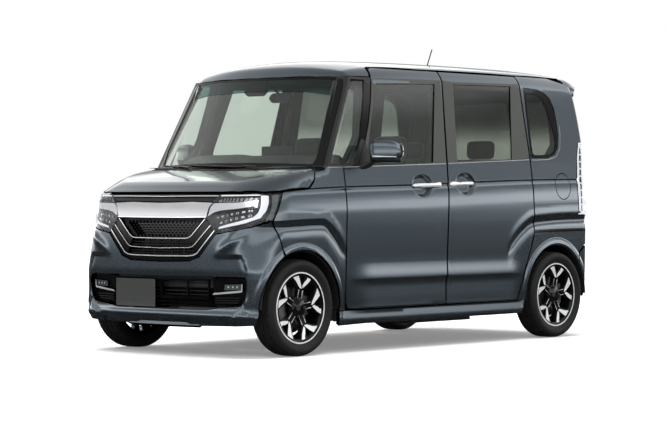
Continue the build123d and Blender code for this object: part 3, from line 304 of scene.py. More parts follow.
# %% [markdown]
# The body's shape is one rule: a function that is negative inside the car and positive outside.
# Each face of the car is a smooth curve, and the faces meet in rounded corners. Every panel is
# then cut from the same surface, so that neighbours line up across their gaps, as pressings do.

# %% Smooth curves
def smooth(points):
    """A curve through (place, value) pairs that doesn't overshoot between them."""
    place, value = (np.array(column, float) for column in zip(*points))
    step = np.diff(place)
    slope = np.diff(value) / step
    tangent = np.empty(len(place))
    tangent[0], tangent[-1] = slope[0], slope[-1]
    one, two = 2 * step[1:] + step[:-1], step[1:] + 2 * step[:-1]
    flat = slope[:-1] * slope[1:] <= 0
    safe = np.where(slope == 0, 1.0, slope)
    tangent[1:-1] = np.where(flat, 0.0, (one + two) / (one / safe[:-1] + two / safe[1:]))

    def curve(where):
        where = np.clip(where, place[0], place[-1])
        index = np.clip(np.searchsorted(place, where) - 1, 0, len(step) - 1)
        part = (where - place[index]) / step[index]
        first, last = value[index], value[index + 1]
        turn_in, turn_out = tangent[index] * step[index], tangent[index + 1] * step[index]
        cube = part * part * (3 - 2 * part)
        return (first * (1 - cube) + last * cube
                + turn_in * part * (1 - part) ** 2 - turn_out * part * part * (1 - part))

    return curve


def fade(value):
    """0 below 0, 1 above 1, and smooth between."""
    value = np.clip(value, 0, 1)
    return value * value * (3 - 2 * value)


def round_max(first, second, radius):
    """The outside of two faces that meet in a corner of that radius."""
    corner = np.hypot(np.maximum(first + radius, 0), np.maximum(second + radius, 0))
    return np.minimum(np.maximum(first, second), -radius) + corner


# (height, half width) at the doors, from the sill up to the roof
side_profile = smooth([(150, 700), (168, 716), (182, 723.5), (200, 724.5), (225, 722), (250, 719.5),
                       (262, 718.5), (330, 723), (434, 728), (535, 730), (620, 732), (700, 734),
                       (780, 736), (850, 737), (900, 735), (940, 732), (970, 728), (1010, 722.5),
                       (1060, 715.5), (1120, 707.5), (1150, 703), (1300, 684), (1480, 661.5), (1640, 640),
                       (1800, 617)])
# (distance along the car, height) of the shoulder line
shoulder = smooth([(-1700, 948), (-1439, 957), (-1151, 967), (-865, 978), (-265, 992), (404, 1014),
                   (994, 1030), (1532, 1039), (1700, 1042)])
print("half width at the doors:", float(side_profile(850)))

# %% [markdown]
# The sides carry the pressed lines: a groove along the shoulder, a raised band above the sill,
# a ledge behind the front wheel and one before the rear wheel, and a lip round each arch. Each
# is a small in-or-out move of the surface, given by the distance from a line.

# %% Pressed lines of the sides
# the ledges run as (distance along the car, height), the profiles as (distance from the line, move)
front_ledge = smooth([(-1700, 781), (-1500, 783), (-1300, 790), (-1120, 796), (-1068, 794), (-1035, 782),
                      (-1000, 757), (-940, 702), (-875, 632), (-800, 550)])
rear_ledge = smooth([(650, 540), (735, 628), (771, 664), (823, 706), (888, 748), (952, 780), (1000, 793),
                     (1100, 801), (1343, 811), (1640, 815), (1700, 816)])
ledge_profile = smooth([(-150, 0), (-115, 0), (-72, -2.5), (-52, -6), (-38, -11), (-20, -7), (-3, -0.5),
                        (3, 1.5), (12, 2.5), (60, 0), (90, 0)])
band_profile = smooth([(238, 0), (246, 0), (254, 2), (262, 8.5), (290, 6.3), (320, 3.3), (360, -0.1),
                       (400, -2.5), (424, 1), (431, 7.5), (436, 9), (446, 8.4), (500, 3), (535, 0.4),
                       (560, 0)])
groove_profile = smooth([(-40, 0), (-30, 0), (-15, -1.5), (-7, -5), (-3, -8), (0, -8), (8, -1.4), (12, 0),
                         (25, 0)])
CUPS = ((-140, 993), (288, 1006))  # middles of the oval hollows behind the door handles
CUP_RADIUS, CUP_DEPTH, CUP_RIM = 76, 28, 32
CUP_SQUASH = 0.72  # an oval's height over its length
SHOULDER_START = 992  # the shoulder's height that the side profile is drawn for
TAIL_TAPER = 15.5  # how much narrower the body is at the tail


def slope_distance(line, y, z):
    """Distance of (y, z) above a line, along the line's own normal."""
    rise = (line(y + 2) - line(y - 2)) / 4
    return (z - line(y)) / np.sqrt(1 + rise * rise)


def side_face(y, z):
    """Half width of the body at a place in side view."""
    shift = (shoulder(y) - SHOULDER_START) * fade((z - 760) / 150) * fade((1500 - z) / 300)
    x = side_profile(z - shift)
    x = x - TAIL_TAPER * fade((y - 600) / 1100)
    x = x + groove_profile(z - shoulder(y)) * fade((y + 1460) / 60) * fade((1600 - y) / 60)
    x = x + band_profile(z) * fade((y + 860) / 250) * fade((905 - y) / 160)
    front_move = ledge_profile(slope_distance(front_ledge, y, z))
    x = x + front_move * fade((-845 - y) / 90) * fade((y + 1640) / 100)
    x = x + ledge_profile(slope_distance(rear_ledge, y, z)) * fade((y - 700) / 90)
    for axle_y in AXLES:
        inward = FLARE_RADIUS - np.hypot(y - axle_y, z - AXLE_Z)
        x = x + 3 * fade(inward / 14) + 4 * np.clip(inward / 37, 0, 1)
    for cup_y, cup_z in CUPS:
        from_middle = np.hypot((y - cup_y) * CUP_SQUASH, z - cup_z)
        x = x - CUP_DEPTH * fade((CUP_RADIUS - from_middle) / CUP_RIM)
    return np.minimum(x, HALF_WIDTH)


print("band stands out by", float(band_profile(436)), "mm")

# %% [markdown]
# The nose, the bonnet, the windscreen, the roof and the tail are the other faces. The corner
# between nose and side grows with height, and that gives the bluff lower bumper and the rounder
# headlamps above it. The bonnet and the roof give (distance along the car, height), and the nose,
# the tail and the corner's radius are given over heights.

# %% Profiles of the other faces
nose_profile = smooth([(150, -1646), (176, -1660), (190, -1664), (206, -1668), (216, -1684), (234, -1697),
                       (241, -1697), (262, -1692), (292, -1689), (400, -1691), (470, -1694),
                       (500, -1696.5), (600, -1696.5), (801, -1691), (901, -1679), (941, -1662),
                       (951, -1652), (980, -1609), (1012, -1561), (1060, -1489), (1110, -1414)])
bonnet_profile = smooth([(-1720, 975), (-1560, 1011), (-1400, 1051), (-1250, 1082), (-1100, 1106),
                         (-950, 1126)])
tail_profile = smooth([(150, 1560), (205, 1600), (252, 1668), (300, 1688), (400, 1697), (640, 1697),
                       (900, 1694), (1106, 1690), (1308, 1682), (1429, 1670), (1560, 1646), (1640, 1622),
                       (1800, 1560)])
roof_profile = smooth([(-900, 1660), (-800, 1712), (-720, 1736), (-620, 1753), (-488, 1766), (-200, 1778),
                       (300, 1787), (700, 1789.5), (1100, 1788), (1500, 1775), (1700, 1762)])
corner_radius = smooth([(0, 100), (250, 105), (450, 115), (620, 170), (780, 235), (1000, 245), (1100, 250)])
SCREEN_HALF, SCREEN_BOW = 668, 130  # half the windscreen's width, and how far its middle is ahead
SCREEN_FOOT_Y, SCREEN_FOOT_Z, SCREEN_SLOPE = -1160, 1106, 0.56
screen_radius = (SCREEN_HALF**2 + SCREEN_BOW**2) / (2 * SCREEN_BOW)
print("windscreen radius:", round(screen_radius))

# %% [markdown]
# Each lower corner of the nose has a raised bracket round a recess. Its edge is given twice, as
# heights over x and as x over heights. The nose, the tail, the bonnet and the roof all fall back
# towards their sides, and the crowns below say by how much.

# %% The whole skin
bracket_top = smooth([(0, 582), (405, 583), (497, 592), (600, 592), (640, 575), (660, 520)])
bracket_side = smooth([(230, 560), (262, 600), (303, 646), (383, 661), (494, 660), (560, 644), (600, 600)])
NOSE_CROWN, TAIL_CROWN, BONNET_CROWN, ROOF_CROWN = 40, 26, 14, 33
BRACKET_STEP, BRACKET_RIDGE = 15, 6  # depth of the recess, and height of the ridge across it


def nose_face(x, z):
    """How far forward the nose is. Its lower corners step back inside a raised bracket."""
    far = np.minimum(np.abs(x), 720)
    step = fade((far - 400) / 200) * fade((bracket_top(far) - z) / 20) * fade((bracket_side(z) - far) / 24)
    ridge = ((z - 587) * 0.875 - (far - 415) * 0.485) / 26
    ridge = BRACKET_RIDGE * np.exp(-ridge * ridge) * fade((far - 420) / 80) * fade((660 - far) / 60)
    return nose_profile(z) + NOSE_CROWN * (far / 644) ** 2.2 + BRACKET_STEP * step - ridge


def screen_face(x, z):
    bow = screen_radius - np.sqrt(np.maximum(screen_radius**2 - x * x, 1))
    return SCREEN_FOOT_Y + bow + SCREEN_SLOPE * (z - SCREEN_FOOT_Z)


def skin(x, y, z):
    """Negative inside the body, positive outside, about a distance in millimetres near it."""
    width = np.abs(x)
    sides = width - side_face(y, z)
    tail = y - tail_profile(z) + TAIL_CROWN * (width / 620) ** 2
    sides = round_max(sides, tail, 60 + 30 * fade((1250 - z) / 200))
    lower = round_max(sides, (nose_face(x, z) - y) * 0.9, corner_radius(z))
    lid = z - bonnet_profile(y) + BONNET_CROWN * (width / 690) ** 2.5
    lower = round_max(lower, lid, 14 + 34 * fade((width - 430) / 200))
    roof = z - roof_profile(y) + ROOF_CROWN * (np.minimum(width, 650) / 450) ** 2.2
    upper = round_max(sides, roof, 40 + 40 * fade((width - 300) / 200))
    upper = round_max(upper, (screen_face(x, z) - y) * 0.87, 26)
    return np.minimum(lower, upper)


def skin_normal(points, step=0.6):
    """Outward unit normals of the skin, from how the rule changes round each point."""
    slopes = []
    for axis in range(3):
        move = np.zeros(3)
        move[axis] = step
        ahead, behind = points + move, points - move
        slopes.append(skin(*ahead.T) - skin(*behind.T))
    normal = np.array(slopes).T
    return normal / np.maximum(np.linalg.norm(normal, axis=1, keepdims=True), 1e-9)


print("inside the cabin:", float(skin(np.array(0.0), np.array(0.0), np.array(1200.0))) < 0)

# %% [markdown]
# A panel's outline is drawn flat and thrown on to the skin along rays. A chart says which ray
# belongs to a flat place: level rays all round for the bumpers, lamps and doors, and rays that
# fan out from inside for the bonnet and the roof.

# %% Rays round an end
CORNER_X, CORNER_Y = 560, 1520  # the middle of the turn that the rays make round a corner
TURN = 150  # its radius
QUARTER = TURN * math.pi / 2


class Round:
    """Level rays round one end of the car: distance round from the centre line, and height."""

    def __init__(self, end):
        self.end = end

    def ray(self, uv):
        around, height = uv.T
        far = np.abs(around)
        angle = np.clip((far - CORNER_X) / TURN, 0, math.pi / 2)
        sign = np.where(around < 0, -1.0, 1.0)
        along = CORNER_Y - np.maximum(far - CORNER_X - QUARTER, 0)
        origin = np.array([sign * np.minimum(far, CORNER_X), self.end * along, height]).T
        return origin, np.array([sign * np.sin(angle), self.end * np.cos(angle), 0 * height]).T

    def flat(self, points):
        x, y, z = points.T
        out, ahead = np.abs(x) - CORNER_X, self.end * y - CORNER_Y
        angle = np.arctan2(np.maximum(out, 0), np.maximum(ahead, 1e-6))
        around = np.where(out <= 0, np.abs(x), CORNER_X + TURN * angle)
        around = np.where(ahead <= 0, CORNER_X + QUARTER - ahead, around)
        return np.array([np.where(x < 0, -around, around), z]).T


print("turn round a corner:", round(QUARTER), "mm")

# %% [markdown]
# The windscreen is cut by rays straight ahead, and the bonnet and the roof by rays that fan out
# from a flat rectangle below them.

# %% Straight and fanned rays
class Face:
    """Level rays straight ahead from a wall across the cabin, for the windscreen."""

    def __init__(self, end, start):
        self.end, self.start = end, start

    def ray(self, uv):
        origin = np.array([uv[:, 0], np.full(len(uv), float(self.start)), uv[:, 1]]).T
        return origin, np.tile((0.0, self.end, 0.0), (len(uv), 1))

    def flat(self, points):
        return points[:, [0, 2]]


class Fan:
    """Rays that spread up and out from a flat rectangle inside the body."""

    def __init__(self, half, front, rear, height, reach):
        self.half, self.front, self.rear, self.height, self.reach = half, front, rear, height, reach

    def ray(self, uv):
        across, along = uv.T
        foot_x, foot_y = np.clip(across, -self.half, self.half), np.clip(along, self.front, self.rear)
        lean = np.tan((across - foot_x) / self.reach), np.tan((along - foot_y) / self.reach)
        direction = np.array([lean[0], lean[1], np.ones_like(across)]).T
        origin = np.array([foot_x, foot_y, np.full_like(across, self.height)]).T
        return origin, direction / np.linalg.norm(direction, axis=1, keepdims=True)

    def flat(self, points):
        x, y, z = points.T
        foot_x, foot_y = np.clip(x, -self.half, self.half), np.clip(y, self.front, self.rear)
        rise = z - self.height
        return np.array([foot_x + self.reach * np.arctan2(x - foot_x, rise),
                         foot_y + self.reach * np.arctan2(y - foot_y, rise)]).T


print("rays from", Face.__name__, "and", Fan.__name__)

# %% [markdown]
# Where a ray leaves the body is found by halving: 36 halvings of 900 mm leave no error to see.

# %% Places on the skin
HALVINGS = 36


def strike(origin, direction, near=0.0, far=900.0):
    """Where each ray leaves the body."""
    low, high = np.full(len(origin), near), np.full(len(origin), far)
    for _ in range(HALVINGS):
        middle = (low + high) / 2
        inside = skin(*(origin + direction * middle[:, None]).T) < 0
        low, high = np.where(inside, middle, low), np.where(inside, high, middle)
    return origin + direction * low[:, None]


nose_chart, tail_chart = Round(-1), Round(1)
screen_chart = Face(-1, -400)
bonnet_chart = Fan(480, -1440, 0, 800, 260)
roof_chart = Fan(450, -640, 1450, 1450, 260)


def on_skin(*places):
    """Full points from places with one None: the missing one is where the skin is, to the left,
    to the front (or to the rear for y past the middle, given as "rear"), or at the top."""
    starts, ways = [], []
    for x, y, z in places:
        if x is None:
            starts.append((0, y, z))
            ways.append((1, 0, 0))
        elif z is None:
            starts.append((x, y, 600))
            ways.append((0, 0, 1))
        else:
            starts.append((x, 0, z))
            ways.append((0, 1 if y == "rear" else -1, 0))
    return strike(np.array(starts, float), np.array(ways, float), 0.0, 1800.0)


print("widest at the door:", on_skin((None, 0, 850))[0].round(1))

# %% [markdown]
# A mesh is made from a flat outline in five steps. The outline is drawn back by half the gap and
# its corners are rounded. A grid of points, with closer rows along the pressed lines, is joined
# with it into triangles. The points are thrown on to the skin. The rim is rolled over, as a real
# pressing is, and a back face closes the sheet. Blender shades it with the skin's own normals,
# so that reflections run smoothly from one panel into the next.

# %% Outlines
def spaced(points, step, closed=True):
    """The same line with points no further apart than step."""
    points = np.asarray(points, float)
    ends = np.roll(points, -1, axis=0) if closed else points[1:]
    made = []
    for start, end in zip(points, ends):
        count = max(1, int(math.ceil(np.linalg.norm(end - start) / step)))
        made.extend(start + (end - start) * index / count for index in range(count))
    if not closed:
        made.append(points[-1])
    return np.array(made)


def area(points):
    x, y = points.T
    return 0.5 * float(np.sum(x * np.roll(y, -1) - y * np.roll(x, -1)))


print("area of a unit square:", area(np.array([(0, 0), (1, 0), (1, 1), (0, 1)])))

# %% [markdown]
# Corners are cut by arcs and outlines are drawn in by half a gap. Bends of less than 20 degrees
# stay as they are, because they are only points along a curve.

# %% Rounding and shrinking
STRAIGHT = math.radians(80)  # half the angle above which a corner is only a bend


def rounded(points, radius):
    """A closed outline whose sharp bends are cut by arcs of that radius."""
    points = np.asarray(points, float)
    before, after = np.roll(points, 1, axis=0), np.roll(points, -1, axis=0)
    made = []
    for last, corner, following in zip(before, points, after):
        back, ahead = last - corner, following - corner
        long_back, long_ahead = np.linalg.norm(back), np.linalg.norm(ahead)
        back, ahead = back / long_back, ahead / long_ahead
        half = math.acos(float(np.clip(back @ ahead, -1, 1))) / 2
        if half > STRAIGHT:
            made.append(corner)
            continue
        cut = min(radius / math.tan(half), 0.45 * min(long_back, long_ahead))
        start, end = corner + back * cut, corner + ahead * cut
        for part in np.linspace(0, 1, 6):
            made.append(start * (1 - part) ** 2 + 2 * corner * part * (1 - part) + end * part**2)
    return np.array(made)


def shrunk(points, amount):
    """A closed outline drawn in by that amount."""
    if area(points) < 0:
        points = points[::-1]
    ahead = np.roll(points, -1, axis=0) - points
    ahead /= np.maximum(np.linalg.norm(ahead, axis=1, keepdims=True), 1e-9)
    behind = np.roll(ahead, 1, axis=0)
    middle = ahead + behind
    middle /= np.maximum(np.linalg.norm(middle, axis=1, keepdims=True), 1e-9)
    inward = np.array([-middle[:, 1], middle[:, 0]]).T
    stretch = 1 / np.maximum(np.abs(np.sum(middle * ahead, axis=1)), 0.5)
    return points + inward * (amount * stretch)[:, None]


def inside(points, outline):
    """Which points lie inside a closed outline."""
    x, y = points[:, 0][:, None], points[:, 1][:, None]
    x1, y1 = outline.T
    x2, y2 = np.roll(outline, -1, axis=0).T
    crossing = ((y1 > y) != (y2 > y)) & (x < (x2 - x1) * (y - y1) / np.where(y2 == y1, 1e-9, y2 - y1) + x1)
    return np.sum(crossing, axis=1) % 2 == 1


def arc(centre, radius, start, end, count=24):
    """Points on an arc in side view, with its angles in degrees from +Y towards +Z."""
    angles = np.radians(np.linspace(start, end, count))
    return [(centre[0] + radius * math.cos(a), centre[1] + radius * math.sin(a)) for a in angles]


print("a rounded square has", len(rounded([(0, 0), (9, 0), (9, 9), (0, 9)], 2)), "points")

# %% [markdown]
# Extra points run beside every pressed line of the left side, and are mirrored for the right.
# Without them the grid would step across a groove and the reflections would break up.

# %% Points along the pressed lines
def crease_points():
    rows = []
    for y in np.arange(-1690, 1692, 13.0):
        rows += [(y, float(shoulder(y)) + d) for d in (-30, -22, -15, -10, -6, -3, 0, 3, 7, 14)]
        if -860 < y < 905:
            rows += [(y, z) for z in (400, 414, 424, 430, 434, 438, 446, 460, 480, 505, 535)]
    for line, first, last in ((front_ledge, -1690, -850), (rear_ledge, 700, 1690)):
        place = first
        while place < last:
            rise = float(line(place + 2) - line(place - 2)) / 4
            long = math.hypot(1, rise)
            for d in (-88, -72, -60, -51, -44, -38, -32, -26, -18, -9, -3, 1, 5, 12, 24):
                rows.append((place - d * rise / long, float(line(place)) + d / long))
            place += 13 / long
    for axle_y in AXLES:
        for ring in (346, 349, 354, 360, 366, 372, 380):
            rows += arc((axle_y, AXLE_Z), ring, -20, 200, 90)
    for cup in CUPS:
        for ring in (30, 44, 52, 60, 67, 72, 77):
            rows += [(cup[0] + (y - cup[0]) / CUP_SQUASH, z) for y, z in arc(cup, ring, 0, 350, 36)]
    rows = np.array(rows)
    starts = np.array([np.zeros(len(rows)), *rows.T]).T
    return strike(starts, np.tile((1.0, 0.0, 0.0), (len(rows), 1)), 0, 900)


creases = crease_points()
creases = np.vstack([creases, creases * MIRROR])
print("crease points:", len(creases))

# %% [markdown]
# The inside of an outline is filled with crease points first and then with a staggered grid. A
# point too near another is left out.

# %% Points inside an outline
CREASE_CLEAR = 2.4  # how near two crease points may be
CELL = 12.0  # side of the boxes in which neighbours are looked for


def within(points, outline, holes):
    """Which points lie inside an outline and outside its holes."""
    keep = inside(points, outline)
    for hole in holes:
        keep &= ~inside(points, hole)
    return keep


def staggered(low, high, spacing):
    """A grid between two corners, with every other row moved by half a step."""
    columns = np.arange(low[0] + spacing * 0.6, high[0], spacing)
    rows = np.arange(low[1] + spacing * 0.6, high[1], spacing)
    return np.array([(x + (spacing / 2 if row % 2 else 0), y) for row, y in enumerate(rows)
                     for x in columns])


def thinned(rim, groups):
    """The points of (points, clearance) groups that stay clear of the rim and of one another."""
    taken, kept = {}, []
    for point in rim:
        taken.setdefault((int(point[0] // CELL), int(point[1] // CELL)), []).append(point)
    for group, clear in groups:
        for point in group:
            column, row = int(point[0] // CELL), int(point[1] // CELL)
            close = any(abs(other[0] - point[0]) < clear and abs(other[1] - point[1]) < clear
                        for i in (-1, 0, 1) for j in (-1, 0, 1)
                        for other in taken.get((column + i, row + j), ()))
            if not close:
                taken.setdefault((column, row), []).append(point)
                kept.append(point)
    return kept


print("points in a small grid:", len(staggered((0, 0), (50, 50), 17)))

# %% [markdown]
# The rims and the points inside them are joined into triangles, and those that lie outside the
# outline or in a hole are dropped.

# %% Triangles
def triangles(outline, holes, chart, spacing, near_creases):
    """Flat points and faces that fill an outline round its holes."""
    low, high = outline.min(0), outline.max(0)
    groups = [(staggered(low, high, spacing), spacing * 0.5)]
    if near_creases:
        flat = chart.flat(creases)
        groups.insert(0, (flat[np.all((flat > low) & (flat < high), axis=1)], CREASE_CLEAR))
    groups = [(points[within(points, outline, holes)], clear) for points, clear in groups if len(points)]
    rim = np.vstack([outline] + holes)
    inner = thinned(rim, groups)
    flat = np.vstack([rim, inner]) if inner else rim
    edges, start = [], 0
    for loop in [outline] + holes:
        count = len(loop)
        edges += [(start + i, start + (i + 1) % count) for i in range(count)]
        start += count
    inside_only = 0 if holes else 1
    points, _, shapes, _, _, _ = delaunay_2d_cdt([Vector(p) for p in flat], edges, [], inside_only, 1e-5)
    points, shapes = np.array([tuple(p) for p in points]), np.array(shapes)
    return points, shapes[within(points[shapes].mean(axis=1), outline, holes)]


square = np.array([(0, 0), (9, 0), (9, 9), (0, 9)])
print("triangles in a square:", len(triangles(square, [], None, 5, False)[1]))

# %% [markdown]
# Each piece rides on a body and carries its finish as its material.


def build(name, points, faces, material, body, normals=None, slot=None):
    """A Blender object from millimetre points, riding on a body."""
    mesh = bpy.data.meshes.new(name)
    mesh.from_pydata([tuple(p) for p in np.asarray(points) * 0.001], [], [tuple(f) for f in faces])
    mesh.materials.append(material)
    mesh.update()
    if normals is not None:
        mesh.normals_split_custom_set_from_vertices([tuple(n) for n in normals])
    else:
        for polygon in mesh.polygons:
            polygon.use_smooth = True
    piece = bpy.data.objects.new(name, mesh)
    bpy.context.scene.collection.objects.link(piece)
    if body:
        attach(piece, body)
    return piece


# %% [markdown]
# To close a sheet, the edges of its rim are found first, and which way is out at each of them.

# %% Rims of sheets
def rim_edges(faces):
    """Directed edges that belong to one face only."""
    seen = {}
    for face in faces:
        for i in range(len(face)):
            a, b = int(face[i]), int(face[(i + 1) % len(face)])
            if (b, a) in seen:
                del seen[(b, a)]
            else:
                seen[(a, b)] = True
    return list(seen)


def facing(points, faces, normals):
    """The faces, turned to agree with the normals."""
    a, b, c = (points[faces[:, corner]] for corner in range(3))
    flip = np.sum(np.cross(b - a, c - a) * normals[faces[:, 0]], axis=1) < 0
    return [tuple(f[::-1]) if turn else tuple(f) for f, turn in zip(faces, flip)]


def unit(rows):
    return rows / np.maximum(np.linalg.norm(rows, axis=1, keepdims=True), 1e-9)


def rim_ways(points, edges, normals, ring):
    """Which way is out of the sheet at each vertex of its rim."""
    outward = {a: np.zeros(3) for a in ring}
    for a, b in edges:
        side = np.cross(points[b] - points[a], normals[a])
        side /= max(np.linalg.norm(side), 1e-9)
        outward[a] += side
        outward[b] += side
    return unit(np.array([outward[a] for a in ring]))


print("rim edges of one triangle:", len(rim_edges([(0, 1, 2)])))

# %% [markdown]
# The rows of a closed sheet lie one behind another: the front face, two rows round the rolled rim,
# two rows at its back edge, one shaded as wall and one as back, and the back face.

# %% Closed sheets
def closed_sheet(points, faces, normals, thick, roll):
    """A sheet with a rolled rim and a back: points, faces and normals for build()."""
    points, normals = np.asarray(points), np.asarray(normals)
    edges = rim_edges(faces)
    ring = sorted({a for edge in edges for a in edge})
    index = {a: i for i, a in enumerate(ring)}
    out = rim_ways(points, edges, normals, ring)
    up, edge = normals[ring], points[ring]
    rows = [edge + out * roll * push - up * roll * drop
            for push, drop in ((0.7, 0.3), (1.0, 1.0), (1.0, thick / roll))]
    made = [points] + rows + [rows[-1], points - normals * thick]
    shades = unit(np.vstack([normals, out * 0.7 + up * 0.7, out, out, -up, -normals]))
    first, count = len(points), len(ring)
    last, back = first + 3 * count, first + 4 * count
    joins = []
    for a, b in edges:
        i, j = index[a], index[b]
        joins.append((a, first + i, first + j, b))
        for low in (first, first + count):
            joins.append((low + i, low + count + i, low + count + j, low + j))
        joins.append((last + i, back + a, back + b, last + j))
    front = [tuple(int(i) for i in face) for face in faces]
    joins = [tuple(reversed(face)) for face in joins]
    rear = [tuple(back + i for i in reversed(face)) for face in front]
    return np.vstack(made), front + joins + rear, shades


print("closed sheets ready")

# %% [markdown]
# A panel is a closed sheet cut from the skin. A fitting is a panel without crease rows whose rim
# stays inside its outline, for the parts that lie on the skin or behind it.

# %% Panels and fittings
FLUSH = 0.0001  # no gap round a fitting


def panel(name, chart, outline, material, body, holes=(), lift=0.0, thick=10.0, spacing=17.0, corner=8.0,
          roll=1.6, gap=SHUT, lines=True, mirror=False, shape=None):
    """A sheet cut from the skin. Outlines are full points or flat places of the chart."""
    def place(line, draw_in):
        line = np.asarray(line, float)
        flat = chart.flat(line) if line.shape[1] == 3 else line
        flat = shrunk(rounded(flat, corner), draw_in + (roll if draw_in > 0 else -roll))
        return spaced(flat, spacing)

    rims = [place(hole, -gap) for hole in holes]
    flat, faces = triangles(place(outline, gap), rims, chart, spacing, lines)
    origin, direction = chart.ray(flat)
    points = strike(origin, direction)
    normals = skin_normal(points)
    if shape is not None:
        points = shape(points, normals)
    points = points + normals * lift
    made, shapes, shades = closed_sheet(points, facing(points, faces, normals), normals, thick, roll)
    build(name, made, shapes, material, body, shades)
    if mirror:
        flipped = [face[::-1] for face in shapes]
        build(name.replace("left", "right"), made * MIRROR, flipped, material,
              body.replace("left", "right"), shades * MIRROR)


def fitting(name, chart, outline, material, body="body", **options):
    panel(name, chart, outline, material, body, **{"lines": False, "gap": FLUSH, **options})


print("gap between two panels:", 2 * SHUT, "mm")

# %% [markdown]
# The left doors, front wing and quarter panel are outlines in side view, as (distance along the
# car, height). Each is mirrored to the right. The doors keep a hole for their window.

# %% Side outlines
def side_points(outline):
    return on_skin(*[(None, y, z) for y, z in outline])


def front_points(outline):
    return on_skin(*[(x, None, z) for x, z in outline])


def rear_points(outline):
    return on_skin(*[(x, "rear", z) for x, z in outline])


FRONT, REAR = (AXLES[0], AXLE_Z), (AXLES[1], AXLE_Z)
front_door = [(-865, 300), (-840, 262), (-700, 256), (82, 258), (88, 459), (100, 888), (117, 1128),
              (150, 1658), (152, 1712), (-468, 1712), (-505, 1700), (-530, 1648), (-560, 1500),
              (-599, 1362), (-641, 1264), (-725, 1101), (-865, 1097)]
slide_door = [(88, 258), (802, 258), (843, 280), (902, 434), (958, 560), (1004, 674), (1008, 760),
              (997, 887), (996, 1173), (967, 1661), (962, 1712), (157, 1712), (156, 1658), (123, 1128),
              (106, 888), (94, 459)]
front_window = [(-664, 1110), (-18, 1138), (75, 1627), (-488, 1606), (-560, 1420), (-600, 1290)]
slide_window = [(226, 1148), (795, 1170), (864, 1642), (263, 1632)]
quarter_window = [(1012, 1180), (1196, 1185), (1280, 1206), (1328, 1254), (1350, 1340), (1350, 1430),
                  (1337, 1514), (1300, 1578), (1243, 1612), (1158, 1630), (1012, 1638)]
print("door outline points:", len(front_door), len(slide_door))

# %% [markdown]
# Each door skin is cut with its window as a hole. The sliding door stays on the body.

# %% Doors
for body, outline, hole, name in (
    ("front_door_left", front_door, front_window, "front_door_skin_left"),
    ("body", slide_door, slide_window, "sliding_door_skin_left"),
):
    panel(name, nose_chart, side_points(outline), paint, body, holes=[side_points(hole)], mirror=True,
          corner=14)
print("door skins done")

# %% [markdown]
# The wings and quarters follow the arches, and only the left quarter has the hole of the
# fuel lid, so the two quarters are made one after the other.

# %% Front wings, quarter panels and sills
front_wing = ([(-1403, 585), (-1418, 617), (-1488, 784), (-1446, 869), (-1411, 948), (-1390, 955),
               (-1192, 968), (-1139, 1014), (-1110, 1086), (-1092, 1097), (-869, 1099), (-869, 255),
               (-921, 255)] + arc(FRONT, ARCH_RADIUS, -4, 114, 34))
panel("front_wing_left", nose_chart, side_points(front_wing), paint, "body", mirror=True, corner=6, gap=1.2)

quarter_side = [(808, 256), (849, 277), (908, 434), (964, 560), (1010, 674), (1014, 760), (1003, 887),
                (1002, 1173), (973, 1661), (968, 1716)]
quarter_rear = np.vstack([
    rear_points([(575, 1716), (585, 1640), (600, 1560), (618, 1429), (628, 1292)]),
    side_points([(1571, 1290), (1536, 1190), (1512, 1056), (1507, 980), (1516, 808)]),
    rear_points([(618, 808), (626, 700), (628, 600)]),
])
quarter_arch = [(1600, 610), (1530, 560)] + arc(REAR, ARCH_RADIUS, 39, 184, 40) + [(880, 256)]
quarter = np.vstack([side_points(quarter_side), quarter_rear, side_points(quarter_arch)])
LID, LID_RADIUS = (1343, 996), 86
lid_ring = side_points(arc(LID, LID_RADIUS, 0, 352, 45))
cup_ring = side_points(arc(LID, LID_RADIUS + 8, 0, 352, 40))
glass_ring = side_points(quarter_window)
for name, way, holes in (("quarter_left", (1, 1, 1), [glass_ring, lid_ring]),
                         ("quarter_right", MIRROR, [glass_ring * MIRROR])):
    panel(name, tail_chart, quarter * way, paint, "body", holes=holes, corner=6, gap=1.4)
panel("fuel_lid_skin", tail_chart, lid_ring, paint, "fuel_lid", corner=2, gap=1.6, thick=3.5)
fitting("fuel_cup", tail_chart, cup_ring, black_plastic, lift=-22, thick=6, corner=2)

skirt = [(-930, 160), (-700, 166), (310, 170), (516, 170), (890, 170), (912, 260), (-926, 252)]
panel("skirt_left", nose_chart, side_points(skirt), paint, "body", mirror=True, thick=24)
print("wings, quarters and skirts done")

# %% [markdown]
# The bonnet is a clamshell: its front edge sits on the lamps and its sides come down to the
# shoulder. The roof is one sheet between the door tops. Both are fanned from inside the body.

# %% Bonnet and roof
bonnet_side = side_points([(-1499, 953), (-1411, 957), (-1192, 976), (-1139, 1022), (-1112, 1080)])
cowl_line = on_skin((684, -1112, None), (600, -1142, None), (400, -1192, None), (200, -1222, None),
                    (0, -1232, None))
lead = front_points([(x, 953) for x in (660, 560, 440, 300, 150, 0)])


def both(half):
    """A closed outline across the centre line, from its left half taken from centre to centre."""
    half = np.asarray(half)
    return np.vstack([half, half[::-1][1:-1] * MIRROR])


bonnet_edge = np.vstack([lead[::-1], bonnet_side, cowl_line])
panel("bonnet_skin", bonnet_chart, both(bonnet_edge), paint, "bonnet", corner=10)

roof_side = [(-750, 1642), (-700, 1647), (-540, 1650), (-514, 1703), (-478, 1716), (0, 1717), (960, 1718),
             (1500, 1719)]
roof_edge = np.vstack([
    front_points([(0, 1647), (200, 1647), (437, 1645), (566, 1641)]),
    side_points(roof_side),
    on_skin((540, 1532, None), (300, 1506, None), (0, 1500, None)),
])
panel("roof_skin", roof_chart, both(roof_edge), paint, "body", corner=10)
print("bonnet and roof done")

